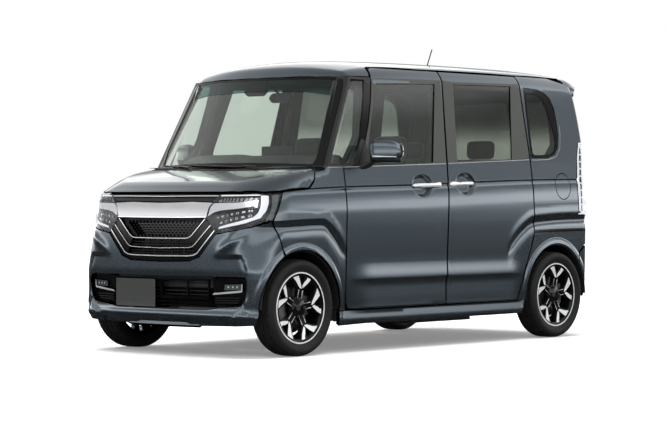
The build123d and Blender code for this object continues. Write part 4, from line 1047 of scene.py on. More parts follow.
# %% [markdown]
# The nose moulding runs from arch to arch below the lamps and the grille, with one wide opening.
# The tail has a bumper below and the tailgate above.

# %% Bumper skins
# outlines as (x, height) of the left half, from the centre line outwards
intake_hole = [(0, 460), (373, 464), (634, 463), (642, 440), (640, 400), (634, 342), (606, 306),
               (473, 292), (367, 276), (0, 275)]
lamp_edge = [(655, 756), (568, 734), (440, 711), (320, 580), (245, 555), (0, 549)]
bumper = np.vstack([
    front_points([(0, 176), (300, 176), (560, 180), (660, 186)]),
    side_points([(-1598, 190)] + arc(FRONT, ARCH_RADIUS, 184, 118, 22) + [(-1421, 617), (-1492, 784)]),
    front_points(lamp_edge),
])
panel("front_bumper_skin", nose_chart, both(bumper), paint, "body", corner=5,
      holes=[both(front_points(intake_hole))], thick=22, roll=3, gap=1.5)

rear_arch = [(1650, 256), (1597, 262)] + arc(REAR, ARCH_RADIUS, -3, 38, 14) + [(1536, 556), (1604, 603)]
rear_half = np.vstack([
    rear_points([(0, 252), (400, 252), (600, 254)]),
    side_points(rear_arch),
    rear_points([(630, 594), (300, 594), (0, 594)]),
])
panel("rear_bumper_skin", tail_chart, both(rear_half), paint, "body", corner=5)
print("bumpers done")

# %% [markdown]
# The tailgate fills the tail above the bumper and has a hole for its glass.

# %% Tailgate
gate = rear_points([(0, 600), (596, 602), (618, 636), (617, 700), (610, 808), (604, 1000), (607, 1200),
                    (621, 1290), (611, 1429), (593, 1560), (580, 1640), (574, 1662), (480, 1672),
                    (0, 1680)])
gate_hole = rear_points([(0, 1150), (510, 1150), (548, 1200), (520, 1560), (480, 1600), (0, 1606)])
panel("tailgate_skin", tail_chart, both(gate), paint, "tailgate", holes=[both(gate_hole)])
print("tailgate done")

# %% [markdown]
# Glass is a thin closed slab just inside the panel round it. The windscreen is clear with a dark band along
# its top. The rear windows are darker, for the people behind, and grow darker still towards their tops as
# painted shade.

# %% Glass
GLASS = {"thick": 4, "spacing": 40, "roll": 0.6}


def widened(outline, amount):
    return shrunk(np.asarray(outline, float), -amount)


for name, chart, outline, material, body in (
    ("front_door_glass_left", nose_chart, front_window, glass, "front_door_left"),
    ("slide_glass_left", nose_chart, slide_window, dark_glass, "body"),
    ("quarter_glass_left", tail_chart, quarter_window, dark_glass, "body"),
):
    pane = side_points(widened(outline, 10))
    panel(name, chart, pane, material, body, lift=-4.5, mirror=True, lines=False, **GLASS)
triangle_window = side_points([(-1022, 1106), (-770, 1108), (-668, 1290), (-596, 1500), (-570, 1636),
                               (-770, 1636), (-800, 1620)])
panel("triangle_glass_left", nose_chart, triangle_window, glass, "body", lift=-3, mirror=True,
      lines=False, **GLASS)
gate_pane = rear_points([(0, 1140), (520, 1140), (560, 1196), (530, 1570), (486, 1612), (0, 1616)])
panel("tailgate_glass_pane", tail_chart, both(gate_pane), dark_glass, "tailgate", lift=-3, lines=False,
      **GLASS)
print("glass done")

# %% [markdown]
# The tail carries a plate in a black surround under a bright bar, red reflectors low down and a
# dark insert that makes the bumper look shallower.

# %% Tail fittings
def tail_part(name, half, material, body, lift, thick, corner=8, roll=1.5, **options):
    """A part of the tail from the left half of its (x, height) outline."""
    fitting(name, tail_chart, both(rear_points(half)), material, body, lift=lift, thick=thick, spacing=40,
            roll=roll, corner=corner, **options)


tail_part("rear_plate_surround", [(0, 792), (225, 792), (240, 815), (240, 960), (0, 966)], gloss_black,
          "tailgate", 0.8, 3)
tail_part("rear_plate", [(0, 806), (165, 806), (165, 936), (0, 936)], plate_grey,
          "tailgate", 1.8, 3, 6, 0.8)
tail_part("rear_bright_bar", [(0, 966), (330, 966), (352, 980), (350, 1006), (0, 1010)], satin_chrome,
          "tailgate", 3.6, 8, 8, 3)
tail_part("rear_bright_line", [(0, 974), (340, 974), (340, 979), (0, 979)], gloss_black,
          "tailgate", 4.0, 3, 1, 0.6)
tail_part("rear_bumper_insert", [(0, 264), (440, 264), (480, 300), (470, 356), (440, 372), (0, 372)],
          black_plastic, "body", 1.2, 5, 14, 2)
tail_part("rear_bumper_line", [(0, 500), (560, 498), (600, 506), (600, 510), (560, 502), (0, 504)],
          rubber, "body", 0.4, 1, 1, 0.4)
reflector = rear_points([(540, 330), (620, 330), (622, 356), (542, 356)])
fitting("rear_reflector_left", tail_chart, reflector, lamp_red, lift=3, thick=5, spacing=40, roll=1.5,
        corner=5, mirror=True)
border_hole = rear_points([(0, 1186), (492, 1186), (520, 1216), (496, 1548), (460, 1572), (0, 1578)])
tail_part("rear_glass_border", [(0, 1138), (522, 1138), (562, 1196), (533, 1572), (488, 1616), (0, 1620)],
          gloss_black, "tailgate", -6.5, 2, 20, 0.5, holes=[both(border_hole)])
print("tail fittings done")

# %% [markdown]
# The face of the car is many thin parts one behind another: a black backing, a mesh, slats and
# bright strips. Each is a panel cut from the same skin and set back by its own depth, so the
# whole face keeps the curve of the nose. A ribbon is a strip of even width along a line.

# %% Ribbons
def ribbon(points, width):
    """A closed outline of even width round an open line."""
    points = np.asarray(points, float)
    ahead = np.gradient(points, axis=0)
    ahead /= np.linalg.norm(ahead, axis=1, keepdims=True)
    across = np.array([-ahead[:, 1], ahead[:, 0]]).T * (width / 2)
    return np.vstack([points + across, (points - across)[::-1]])


def nose_part(name, outline, material, depth, thick=6.0, whole=True, corner=4.0, roll=0.8, **options):
    """A part of the nose from an (x, z) outline of its left half, or of a part to be mirrored."""
    line = front_points(outline)
    fitting(name, nose_chart, both(line) if whole else line, material, lift=-depth, thick=thick,
            corner=corner, roll=roll, mirror=not whole, **options)


def bright_line(name, line, width, material, depth, thick=5.0):
    """A strip across the nose: the left half of its line, from the centre outwards."""
    line = np.asarray(line, float)
    full = np.vstack([line[::-1], line[1:] * (-1, 1)])
    outline = ribbon(spaced(full, 30, closed=False), width)
    fitting(name, nose_chart, front_points(outline), material, lift=-depth, thick=thick, corner=2,
            roll=min(1.2, width / 4), spacing=30)


def circle_of(centre, half_width, half_height, count):
    """A round outline of so many points."""
    angles = np.linspace(0, 2 * math.pi, count, endpoint=False)
    return [(centre[0] + half_width * math.cos(a), centre[1] + half_height * math.sin(a)) for a in angles]


print("ribbon points:", len(ribbon([(0, 0), (10, 0), (20, 5)], 2)))

# %% [markdown]
# Behind everything lies one black sheet. The bright bar above is a swollen section.

# %% Backing and bar
backing = [(0, 540), (250, 545), (330, 575), (450, 705), (570, 728), (655, 750), (690, 765), (700, 944),
           (440, 948), (0, 948)]
nose_part("nose_backing", backing, gloss_black, 62, 4, spacing=40)
BAR_FOOT, BAR_HEIGHT = 804, 90
upper_bar = [(0, 893), (73, 894), (251, 899), (412, 893), (384, 866), (366, 806), (151, 804), (0, 804)]


def bulge(points, normals):
    """The bar's section: it swells to the front and its lower edge turns out."""
    height = (points[:, 2] - BAR_FOOT) / BAR_HEIGHT
    swell = 7 * np.sin(np.clip(height, 0, 1) * math.pi) ** 0.7 - 3
    return points + normals * swell[:, None]


nose_part("grille_bar", upper_bar, satin_chrome, 5, 9, shape=bulge, spacing=9, roll=2.0)
bright_line("grille_bar_edge", [(0, 807), (151, 807), (366, 809)], 7, chrome, 0.5)
nose_part("grille_header", [(0, 946), (446, 946), (416, 896), (251, 902), (0, 897)], gloss_black, 9, 6,
          spacing=30)
bright_line("header_line", [(0, 930), (250, 932), (440, 932)], 6, chrome, 3)
print("bar done")

# %% [markdown]
# The mesh is a real sheet with six-sided holes in staggered rows. The slats below it are plain
# bars, and three bright lines are nested round them.

# %% Mesh and slats
upper_u = [(0, 684), (205, 685), (232, 689), (256, 702), (358, 800)]
middle_u = [(0, 627), (234, 632), (262, 638), (284, 654), (400, 764)]
outer_u = [(0, 581), (234, 584), (272, 588), (301, 600), (430, 733)]
MESH_FOOT = 690  # height of the lowest row of holes
mesh_area = [(0, 688), (205, 689), (254, 705), (352, 800), (0, 802)]


def hexagon(x, z, half_width, half_height):
    return [(x + half_width * a, z + half_height * b) for a, b in
            ((-1, 0), (-0.5, 1), (0.5, 1), (1, 0), (0.5, -1), (-0.5, -1))]


def mesh_holes(outline, pitch_x, pitch_z, margin):
    """Staggered six-sided holes that fit inside a symmetric outline."""
    room = np.vstack([outline, np.array(outline)[::-1] * (-1, 1)])
    found = []
    for row in range(20):
        z = MESH_FOOT + pitch_z * row
        for column in range(-24, 25):
            x = (column + (0.5 if row % 2 else 0)) * pitch_x
            hole = np.array(hexagon(x, z, pitch_x * 0.40, pitch_z * 0.72))
            if np.all(inside(hole + np.sign(hole - (x, z)) * margin, room)):
                found.append(front_points(hole))
    return found


nose_part("grille_mesh", mesh_area, black_plastic, 24, 9, holes=mesh_holes(mesh_area, 31, 14.5, 2),
          corner=2, roll=1.0, spacing=30)
for index, (height, reach) in enumerate(((662, 245), (646, 260), (612, 275), (597, 262))):
    slat = [(0, height + 3), (reach, height + 4), (reach, height - 3), (0, height - 4)]
    nose_part(f"grille_slat_{index}", slat, black_plastic, 22, 12, spacing=40)
for index, x in enumerate((70, 170)):
    upright = [(x, 678), (x + 5, 678), (x + 5, 590), (x, 590)]
    nose_part(f"grille_upright_left_{index}", upright, black_plastic, 26, 8, whole=False, spacing=30)
for name, line, width, depth in (("upper", upper_u, 6, 3), ("middle", middle_u, 6, 4),
                                 ("outer", outer_u, 9, 2)):
    bright_line(f"grille_line_{name}", line, width, chrome, depth, 8)
for name, upper, lower in (("inner", upper_u, middle_u), ("outer", middle_u, outer_u)):
    sill = [(x, z - 4) for x, z in upper[1:]]
    edge = [(x, z + 4) for x, z in reversed(lower[1:])]
    nose_part(f"grille_cheek_left_{name}", sill[1:] + edge[:-1], gloss_black, 9, 14, whole=False,
              spacing=25)
grille_edge = [(0, 551), (245, 557), (320, 583), (438, 712), (428, 727), (301, 593), (272, 582), (0, 575)]
nose_part("grille_edge_left", grille_edge, gloss_black, 6, 20, spacing=25)
print("grille done")

# %% [markdown]
# A headlamp is a black box with bright parts in it, under a clear cover. A white band turns down
# round its outer end, a bright wing carries the grille's bar on, and a cluster of small lenses
# sits below the wing.

# %% Headlamps
lamp_outline = np.vstack([
    front_points([(447, 941), (609, 944)]),
    side_points([(-1478, 946), (-1412, 949), (-1446, 869), (-1490, 790)]),
    front_points([(655, 758), (568, 736), (440, 713), (402, 757), (368, 806), (384, 868)]),
])


def lamp_part(name, points, material, depth, thick=5.0, corner=4, roll=1.0, spacing=16):
    """A part of the left headlamp and its mirror image, from full points or (x, z) places."""
    line = np.asarray(points, float)
    line = line if line.shape[1] == 3 else front_points(line)
    fitting(name, nose_chart, line, material, lift=-depth, thick=thick, corner=corner, roll=roll,
            mirror=True, spacing=spacing)


lamp_part("headlamp_box_left", lamp_outline, lamp_black, 36, 4)
lamp_part("headlamp_cover_left", lamp_outline, lens, 1.0, 2.0, spacing=24)
hook = [(662, 938), (690, 936), (700, 886), (697, 842), (680, 801), (622, 773), (449, 737), (459, 755),
        (565, 781), (652, 811), (669, 834), (674, 869)]
lamp_part("headlamp_band_left", hook, lamp_white, 7, 12, roll=2.5)
lamp_part("headlamp_top_line_left", [(452, 939), (662, 941), (663, 932), (456, 929)], chrome, 5)
upper_mirror = [(428, 899), (463, 925), (660, 928), (659, 910), (556, 897)]
lamp_part("headlamp_upper_left", upper_mirror, disc_steel, 20, 4)
for index, x in enumerate(range(462, 660, 22)):
    rib = [(x, 901), (x + 5, 901), (x + 7, 926), (x + 2, 926)]
    lamp_part(f"headlamp_rib_left_{index}", rib, lamp_black, 14, 5, spacing=30, corner=1, roll=0.6)
wing = [(414, 892), (556, 894), (656, 908), (654, 872), (583, 856), (470, 845), (419, 834), (372, 808),
        (387, 866)]
lamp_part("headlamp_wing_left", wing, satin_chrome, 6, 12, roll=2.5, spacing=10)
lamp_part("headlamp_wing_end_left", [(648, 908), (663, 908), (664, 862), (652, 866)], lamp_white, 3, 10)
side_backing = [(-1474, 941), (-1424, 944), (-1450, 869), (-1484, 796), (-1532, 786), (-1502, 830),
                (-1484, 880)]
lamp_part("headlamp_side_left", side_points(side_backing), lamp_grey, 16, 5)
print("headlamp bodies done")

# %% [markdown]
# The cluster is two rows of small cups with a round eye in each.

# %% Headlamp lenses
for row, count, start, end in ((0, 7, (440, 806), (640, 845)), (1, 6, (466, 776), (640, 817))):
    for index, (x, z) in enumerate(np.linspace(start, end, count)):
        half = 10.5 - row * 0.5
        cell = [(x - half, z - 8), (x + half, z - 5), (x + half - 2, z + 10), (x - half + 2, z + 8)]
        lamp_part(f"headlamp_cell_left_{row}{index}", cell, chrome, 20, 8, roll=2.5, corner=5, spacing=30)
        eye = circle_of((x, z + 1), 5.0, 4.4, 10)
        shade = lamp_white if (index + row) % 2 else lamp_black
        lamp_part(f"headlamp_eye_left_{row}{index}", eye, shade, 17, 6, roll=1.5, corner=1, spacing=30)
print("headlamp lenses done")

# %% [markdown]
# The lower opening holds a dark plate, slats, and a fog lamp at each end with a bright foot.

# %% Lower opening
intake_back = [(0, 470), (640, 470), (655, 400), (640, 300), (470, 280), (0, 262)]
nose_part("intake_backing", intake_back, gloss_black, 58, 4, spacing=40)
for index, z in enumerate((424, 402, 380, 358)):
    slat = [(0, z + 3.5), (372, z + 4), (370, z - 3), (0, z - 3.5)]
    nose_part(f"intake_slat_{index}", slat, black_plastic, 34, 14, spacing=60)
for index, (z, reach) in enumerate(((336, 385), (316, 400), (296, 380))):
    bar = [(0, z + 6), (reach, z + 6), (reach - 6, z - 5), (0, z - 6)]
    nose_part(f"intake_bar_{index}", bar, gloss_black, 20, 14, spacing=60, roll=2)
frame_hole = front_points([(10, 437), (370, 441), (364, 352), (10, 349)])
nose_part("intake_frame_left", [(2, 448), (384, 452), (376, 343), (2, 340)], gloss_black, 14, 10,
          whole=False, holes=[frame_hole], spacing=30)
nose_part("intake_upright_left", [(196, 440), (202, 440), (202, 350), (196, 350)], black_plastic, 24, 10,
          whole=False, spacing=60)
print("intake done")

# %% [markdown]
# Each fog lamp is a block with three eyes over three thin fins and a bright foot.

# %% Fog lamps
fog_body = [(395, 458), (628, 458), (634, 400), (628, 346), (604, 314), (470, 300), (410, 300)]
nose_part("fog_housing_left", fog_body, gloss_black, 26, 6, whole=False, spacing=30)
nose_part("fog_block_left", [(488, 424), (606, 427), (606, 390), (483, 387)], lamp_grey, 14, 8,
          whole=False, roll=2.5, corner=7)
for index in range(3):
    eye = circle_of((517 + index * 29, 408 + index * 0.6), 8, 8, 14)
    nose_part(f"fog_eye_left_{index}", eye, lamp_white, 9, 6, whole=False, roll=2.5, corner=1, spacing=30)
fog_foot = [(407, 366), (420, 374), (600, 392), (604, 428), (613, 428), (611, 382), (598, 377), (409, 360)]
nose_part("fog_foot_left", fog_foot, chrome, 8, 8, whole=False, roll=1.5, corner=3)
for index, z in enumerate((344, 330, 317)):
    reach = 596 - 8 * index
    fin = [(424, z + 3), (reach, z + 5), (reach - 4, z - 2), (424, z - 3)]
    nose_part(f"fog_fin_left_{index}", fin, black_plastic, 14, 10, whole=False, spacing=60)
nose_part("parking_sensor_left", circle_of((420, 506), 11, 11, 18), paint, -0.8, 3, whole=False, corner=1,
          spacing=30)
print("fog lamps done")

# %% [markdown]
# The front plate is flat and stands a little ahead of the bumper, so its points leave the skin.

# %% Front plate
PLATE_Y = -1681  # the plane that the plate is lifted from


def flat_plate(points, normals):
    return np.column_stack([points[:, 0], np.full(len(points), PLATE_Y), points[:, 2]])


plate = front_points([(-368, 445), (-38, 445), (-38, 280), (-368, 280)])
fitting("number_plate", nose_chart, plate, plate_grey, lift=10, thick=2.5, corner=7, roll=0.8, spacing=40,
        shape=flat_plate)
print("front plate done")

# %% [markdown]
# A wheel is built once about its own middle and then placed four times. Round parts are turned:
# a profile, given as (distance outwards, radius), is swept round the axle.

# %% Turning and joining
def turned(profile, steps):
    """Points and faces of a closed profile swept round the X axis."""
    count = len(profile)
    angles = np.linspace(0, 2 * math.pi, steps, endpoint=False)
    points = np.array([(a, r * math.cos(t), r * math.sin(t)) for t in angles for a, r in profile])
    faces = []
    for step in range(steps):
        this, following = step * count, (step + 1) % steps * count
        for a, b in zip(range(count), [*range(1, count), 0]):
            faces.append((this + a, this + b, following + b, following + a))
    return points, faces


def joined(parts):
    """Several (points, faces) as one."""
    points, faces, start = [], [], 0
    for some_points, some_faces in parts:
        points.append(np.asarray(some_points, float))
        faces += [tuple(int(i) + start for i in face) for face in some_faces]
        start += len(some_points)
    return np.vstack(points), faces


def outward(points, faces):
    """Faces turned so that the closed mesh has a positive volume."""
    volume = sum(float(np.dot(points[f[0]], np.cross(points[f[i]], points[f[i + 1]])))
                 for f in faces for i in range(1, len(f) - 1))
    return [tuple(reversed(f)) for f in faces] if volume < 0 else faces


def shaded(piece, angle=32):
    """Smooth shading that keeps edges sharper than the angle."""
    for polygon in piece.data.polygons:
        polygon.use_smooth = True
    piece.data.set_sharp_from_angle(angle=math.radians(angle))
    return piece


print("turning ready")

# %% [markdown]
# Spokes and brake calipers are plates in the wheel's plane whose outer face follows a surface.

# %% Plates in the wheel's plane
PLATE_GRID = 9  # millimetres between the points of a plate in the wheel's plane


def relief_plate(outline, surface, thick, roll):
    """A plate in the wheel's plane, as (y, z) places, whose outer face lies at surface(y, z)."""
    rim = spaced(outline, PLATE_GRID)
    if area(rim) < 0:
        rim = rim[::-1]
    flat, faces = triangles(rim, [], None, PLATE_GRID, False)
    y, z = flat.T
    tilt_y = (surface(y + 1, z) - surface(y - 1, z)) / 2
    tilt_z = (surface(y, z + 1) - surface(y, z - 1)) / 2
    normals = unit(np.column_stack([np.ones_like(y), -tilt_y, -tilt_z]))
    points = np.column_stack([surface(y, z), y, z])
    return closed_sheet(points, facing(points, faces, normals), normals, thick, roll)[:2]


print("plates ready")

# %% [markdown]
# The wheel is black with bright cut faces. Each of its five spokes leaves the hub as one stem and splits
# into two arms near the rim, and the outer faces of the arms are cut bright. Thin bright strips along each
# stem's edges stand for machined chamfers and are partly painted highlight.

# %% Spokes
def polar(radius, degrees):
    return radius * math.cos(math.radians(degrees)), radius * math.sin(math.radians(degrees))


def round_spoke(turn, *places):
    """Places in the wheel's plane from (radius, degrees from the spoke's middle) pairs."""
    return [polar(radius, turn + degrees) for radius, degrees in places]


def spoke_face(y, z):
    """How far out the spokes stand: dished at the hub, out to the rim."""
    return 44 + 17 * np.minimum(np.hypot(y, z) / 195, 1.1) ** 1.4


def spoke_outline(turn):
    """The black stem and its two arms."""
    return round_spoke(turn, (46, -21), (84, -12), (112, -12), (150, -20), (199, -24), (199, -9), (160, -7),
                       (128, -1), (158, 6), (199, 12), (199, 31), (150, 20), (112, 9), (84, 10), (46, 21))


def bright_arms_and_edge_highlights(turn):
    """The two bright faces of one spoke, and two thin bright strips along its edges nearer the hub that
    stand for machined chamfers and partly paint their highlight.
    """
    wide = round_spoke(turn, (112, -4), (129, 1), (162, 8), (198, 14), (198, 29), (160, 19.5), (118, 6))
    narrow = round_spoke(turn, (117, -6.5), (158, -18.5), (197, -22), (197, -13), (170, -12), (160, -9),
                         (130, -3.5))
    # partly painted highlight: bright strips along the stem's edges
    edges = [round_spoke(turn, (106, outer), (60, inner), (57, inner), (103, outer + step))
             for outer, inner, step in ((-9, -17, -2), (7, 15, 2))]
    return [wide, narrow] + edges


print("points round a spoke:", len(spoke_outline(0)))

# %% [markdown]
# The tyre's profile is turned in many steps, and slots are pressed into it: close ones in the
# shoulders and wider ones in the ribs.

# %% Tyre
tyre_section = [(-60, 190.4), (-64, 192), (-66, 207), (-74, 222), (-81, 240), (-82.5, 252), (-78, 266),
                (-70, 274), (-60, 278.5), (-58, 279.3)]
tyre_sides = [(-a, r) for a, r in reversed(tyre_section)]
ribs = [(-58, 279.3), (-46, 280.6), (-43.5, 274), (-38.5, 274), (-36, 281.2), (-18, 281.5),
        (-15.5, 274.5), (-9.5, 274.5), (-7, 281.5), (7, 281.5), (9.5, 274.5), (15.5, 274.5), (18, 281.5),
        (36, 281.2), (38.5, 274), (43.5, 274), (46, 280.6), (58, 279.3)]
tyre_profile = tyre_section[:-1] + ribs + tyre_sides[1:] + [(40, 190.4), (-40, 190.4)]
TYRE_STEPS = 288
TREAD = 277.5  # the profile is tread outside this radius
SHOULDER_REACH = 44  # and shoulder beyond this distance from its middle


def tyre_mesh():
    """A turned tyre with slots pressed into its shoulders and its ribs."""
    points, faces = turned(tyre_profile, TYRE_STEPS)
    for step in range(TYRE_STEPS):
        for index, (reach, radius) in enumerate(tyre_profile):
            at_shoulder = abs(reach) > SHOULDER_REACH
            place = step + (abs(reach) * 0.05)
            slot = place % 4 < 1 if at_shoulder else (place + 2) % 8 < 1
            if radius > TREAD and slot:
                point = points[step * len(tyre_profile) + index]
                point[1:] *= (radius - (4.5 if at_shoulder else 3)) / radius
    return points, faces


print("tyre profile points:", len(tyre_profile))

# %% [markdown]
# The barrel, lip, hub, cap, shield and disc are turned. Their profiles are closed outlines.

# %% Rims, hubs and brakes
barrel = [(-66, 206), (-64, 196), (-58, 190), (-50, 184), (40, 184), (58, 190), (63, 197), (65, 206),
          (68, 206), (68, 200), (64, 189), (56, 182), (-50, 178), (-60, 184), (-68, 198), (-70, 206)]
lip = [(62, 197), (66.5, 198), (69, 202), (69, 207), (67, 208.5), (64, 207.5), (62, 203)]
hub = [(20, 20), (44, 20), (44, 0.1), (49, 0.1), (50, 20), (47, 27), (47, 60), (44, 66), (30, 68), (20, 60)]
cap = [(40, 0.1), (50, 0.1), (50.5, 16), (49, 20), (46, 22), (40, 22)]
shield = [(-19, 34), (-19, 136), (-12, 150), (-16, 150), (-22, 137), (-22, 34)]
disc = [(-4, 40), (10, 40), (12, 60), (2, 64), (2, 122), (-2, 124), (-16, 124), (-18, 64), (-16, 40)]


def nut(angle):
    """A wheel nut: a six-sided body with a domed end, in its own hole."""
    y, z = polar(50, angle)
    points, faces = turned([(38, 0.1), (56, 0.1), (58, 4), (56, 7.5), (54, 9.5), (38, 10)], 6)
    return points + (0, y, z), faces


def cut_face(y, z):
    return spoke_face(y, z) + 1.2


def caliper_face(y, z):
    return 20 + 0 * y


spoke_turns = [9 + 72 * k for k in range(5)]
spokes = [relief_plate(rounded(spoke_outline(turn), 7), spoke_face, 30, 3) for turn in spoke_turns]
cut_faces = [relief_plate(rounded(shape, 3), cut_face, 3, 0.6)
             for turn in spoke_turns for shape in bright_arms_and_edge_highlights(turn)]
wheel_parts = {
    "tyre": (tyre_mesh(), tyre_rubber, "tyre_rubber"),
    "barrel": (turned(barrel, 96), gloss_black, "wheel_alloy"),
    "lip": (turned(lip, 128), machined, "wheel_alloy"),
    "spokes": (joined(spokes + [turned(hub, 60)]), gloss_black, "wheel_alloy"),
    "faces": (joined(cut_faces), machined, "wheel_alloy"),
    "nuts": (joined([nut(90 * k) for k in range(4)] + [turned(cap, 40)]), dark_steel, "wheel_alloy"),
}
caliper_side = [polar(132, a) for a in (-32, -16, 0, 16, 32)] + [polar(84, a) for a in (30, 10, -10, -30)]
brake_parts = {
    "disc": (turned(disc, 80), disc_steel),
    "shield": (turned(shield, 64), black_plastic),
    "caliper": (relief_plate(rounded(caliper_side, 6), caliper_face, 52, 3), cast_metal),
}
print("tyre faces:", len(wheel_parts["tyre"][0][1]))

# %% [markdown]
# Each wheel is placed from one set of parts. The right ones are mirrored, and the brakes stay
# behind on the knuckle or the body while the wheel turns.

# %% Four wheels
for corner, x, y in (("front_left", WHEEL_X, AXLES[0]), ("front_right", -WHEEL_X, AXLES[0]),
                     ("rear_left", WHEEL_X, AXLES[1]), ("rear_right", -WHEEL_X, AXLES[1])):
    side = 1 if x > 0 else -1
    made = {}
    for part, ((points, faces), material, slot) in wheel_parts.items():
        placed = points * (side, 1, 1) + (x, y, AXLE_Z)
        made[part] = build(f"wheel_{part}_{corner}", placed, outward(placed, faces), material,
                           f"wheel_{corner}", slot=slot)
        shaded(made[part])
    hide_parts(f"tyre_{corner}")
    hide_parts(f"rim_{corner}")
    steered = "front" in corner
    holder = corner.replace("front", "knuckle") if steered else "body"
    for part, ((points, faces), material) in brake_parts.items():
        placed = points * (side, -1 if steered else 1, 1) + (x - side * 4, y, AXLE_Z)
        shaded(build(f"brake_{part}_{corner}", placed, outward(placed, faces), material, holder))
print("wheels done")

# %% [markdown]
# Between the belt and the door tops the car is black: thin pillars, window frames and a film over
# the posts. Each film is a ring round its window, a hair proud of the door that carries it.

# %% Black pillars and films
def ringed(hole):
    """The holes of a piece round one opening in side view, or none."""
    return [side_points(hole)] if hole is not None else []


def film(name, outline, hole, body, chart=nose_chart, material=film_grey, lift=0.8, corner=8):
    panel(name, chart, side_points(outline), material, body, holes=ringed(hole), lift=lift, thick=3,
          mirror=True, lines=False, spacing=30, roll=0.7, gap=0.6, corner=corner)


inner_edge = [(567, -772, 1629), (586, -822, 1528), (608, -893, 1389), (635, -981, 1213),
              (656, -1056, 1099)]
outer_edge = [(683, -1022, 1100), (670, -966, 1213), (650, -880, 1381), (628, -812, 1512),
              (604, -752, 1634)]
fitting("screen_post_left", nose_chart, np.array(inner_edge + outer_edge), gloss_black, lift=2.5, thick=8,
        mirror=True, spacing=14, roll=2.0, corner=3)
corner_outline = [(-1012, 1104), (-732, 1103), (-649, 1264), (-607, 1362), (-568, 1500), (-538, 1644),
                  (-752, 1640)]
corner_pane = [(-985, 1120), (-775, 1117), (-690, 1290), (-632, 1500), (-608, 1624), (-745, 1624)]
film("corner_film_left", corner_outline, corner_pane, "body", material=gloss_black)
door_film = [(-722, 1106), (-641, 1266), (-599, 1364), (-560, 1500), (-530, 1640), (-488, 1646),
             (140, 1656), (113, 1134), (-18, 1130)]
film("door_film_left", door_film, front_window, "front_door_left")
slide_film = [(128, 1136), (158, 1656), (262, 1650), (962, 1662), (992, 1176), (800, 1165)]
film("slide_film_left", slide_film, slide_window, "body")
quarter_film = [(1008, 1173), (1200, 1178), (1290, 1200), (1340, 1250), (1362, 1340), (1362, 1430),
                (1349, 1518), (1310, 1588), (1250, 1624), (1160, 1642), (1004, 1650)]
quarter_pane = [(1040, 1200), (1236, 1204), (1292, 1230), (1314, 1290), (1306, 1350), (1276, 1430),
                (1256, 1510), (1220, 1566), (1170, 1590), (1100, 1600), (1036, 1602)]
film("quarter_film_left", quarter_film, quarter_pane, "body", chart=tail_chart, material=gloss_black,
     lift=-2.5, corner=30)
print("pillars and films done")

# %% [markdown]
# A satin strip along the belt is a painted highlight, standing for the light that the body's shoulder
# catches under the windows, and a slot and two seams cross the quarter panel. Each is a strip along a line
# in side view.

# %% Strips of the sides
def strip(name, line, width, material, body="body", chart=nose_chart, lift=1.5):
    """A strip along a line in side view."""
    outline = ribbon(spaced(line, 25, closed=False), width)
    fitting(name, chart, side_points(outline), material, body, lift=lift, thick=4, mirror=True, spacing=30,
            roll=min(1.5, width / 3), corner=2)


# painted highlight: these belt strips stand for light caught on the shoulder under the glass
strip("belt_line_front_left", [(-862, 1101), (-500, 1113), (108, 1132)], 7, satin_chrome, "front_door_left")
strip("belt_line_slide_left", [(132, 1134), (800, 1160), (990, 1168)], 7, satin_chrome)
strip("belt_line_wing_left", [(-1060, 1098), (-872, 1101)], 6, satin_chrome)
for name, line, width, material, lift in (
    # painted highlight along the belt round the quarter window
    ("belt_line_quarter_left", [(1008, 1166), (1203, 1171), (1297, 1192), (1350, 1244), (1373, 1340),
                                (1374, 1400)], 7, satin_chrome, 1.5),
    ("quarter_slot_left", [(1008, 701), (1300, 706), (1612, 708)], 21, gloss_black, 0.6),
    ("quarter_seam_left", [(1008, 682), (1300, 684), (1625, 686)], 3.2, rubber, 0.3),
    ("quarter_split_left", [(1010, 871), (1502, 885)], 3.0, rubber, 0.3),
):
    strip(name, line, width, material, chart=tail_chart, lift=lift)
print("strips done")

# %% [markdown]
# The windscreen is glued in behind a black border and has a dark green band along its top.

# %% Windscreen
screen_lower = front_points([(0, 1100), (300, 1102), (560, 1104), (672, 1104), (616, 1420), (600, 1530),
                             (400, 1556), (0, 1566)])
screen_upper = front_points([(0, 1566), (400, 1556), (600, 1530), (588, 1640), (437, 1646), (0, 1648)])
for name, outline, material in (("windscreen_glass", screen_lower, glass),
                                ("windscreen_band", screen_upper, shade_glass)):
    fitting(name, screen_chart, both(outline), material, lift=-2, corner=2, **GLASS)
border_outer = front_points([(0, 1092), (300, 1094), (560, 1096), (670, 1098), (614, 1420), (584, 1644),
                             (0, 1650)])
border_inner = front_points([(0, 1130), (300, 1128), (560, 1120), (634, 1118), (590, 1400), (562, 1626),
                             (430, 1634), (0, 1636)])
fitting("windscreen_border", screen_chart, both(border_outer), gloss_black, lift=-1.4, thick=2,
        holes=[both(border_inner)], spacing=30, roll=0.5, corner=10)
sensor_box = front_points([(0, 1560), (70, 1560), (86, 1580), (92, 1632), (0, 1634)])
fitting("sensor_cover", screen_chart, both(sensor_box), satin_black, lift=-9, thick=36, roll=5,
        spacing=20, corner=8)
print("windscreen done")

# %% [markdown]
# Handles, mirrors, wipers and the spoiler are swept: a row of rounded sections, each with its
# own place and size, joined into one closed skin. A power above 2 makes a section boxier.

# %% Sweeps
def loft(rings):
    """Points and faces of a closed skin through rings of equally many points."""
    count, around = len(rings), len(rings[0])
    points = np.vstack([np.asarray(ring, float) for ring in rings])
    start, last = len(points), (count - 1) * around
    turns = list(zip(range(around), [*range(1, around), 0]))
    faces = [(low + a, low + b, low + around + b, low + around + a) for low in range(0, last, around)
             for a, b in turns]
    faces += [(start, b, a) for a, b in turns]
    faces += [(start + 1, last + a, last + b) for a, b in turns]
    return np.vstack([points, points[:around].mean(axis=0), points[last:].mean(axis=0)]), faces


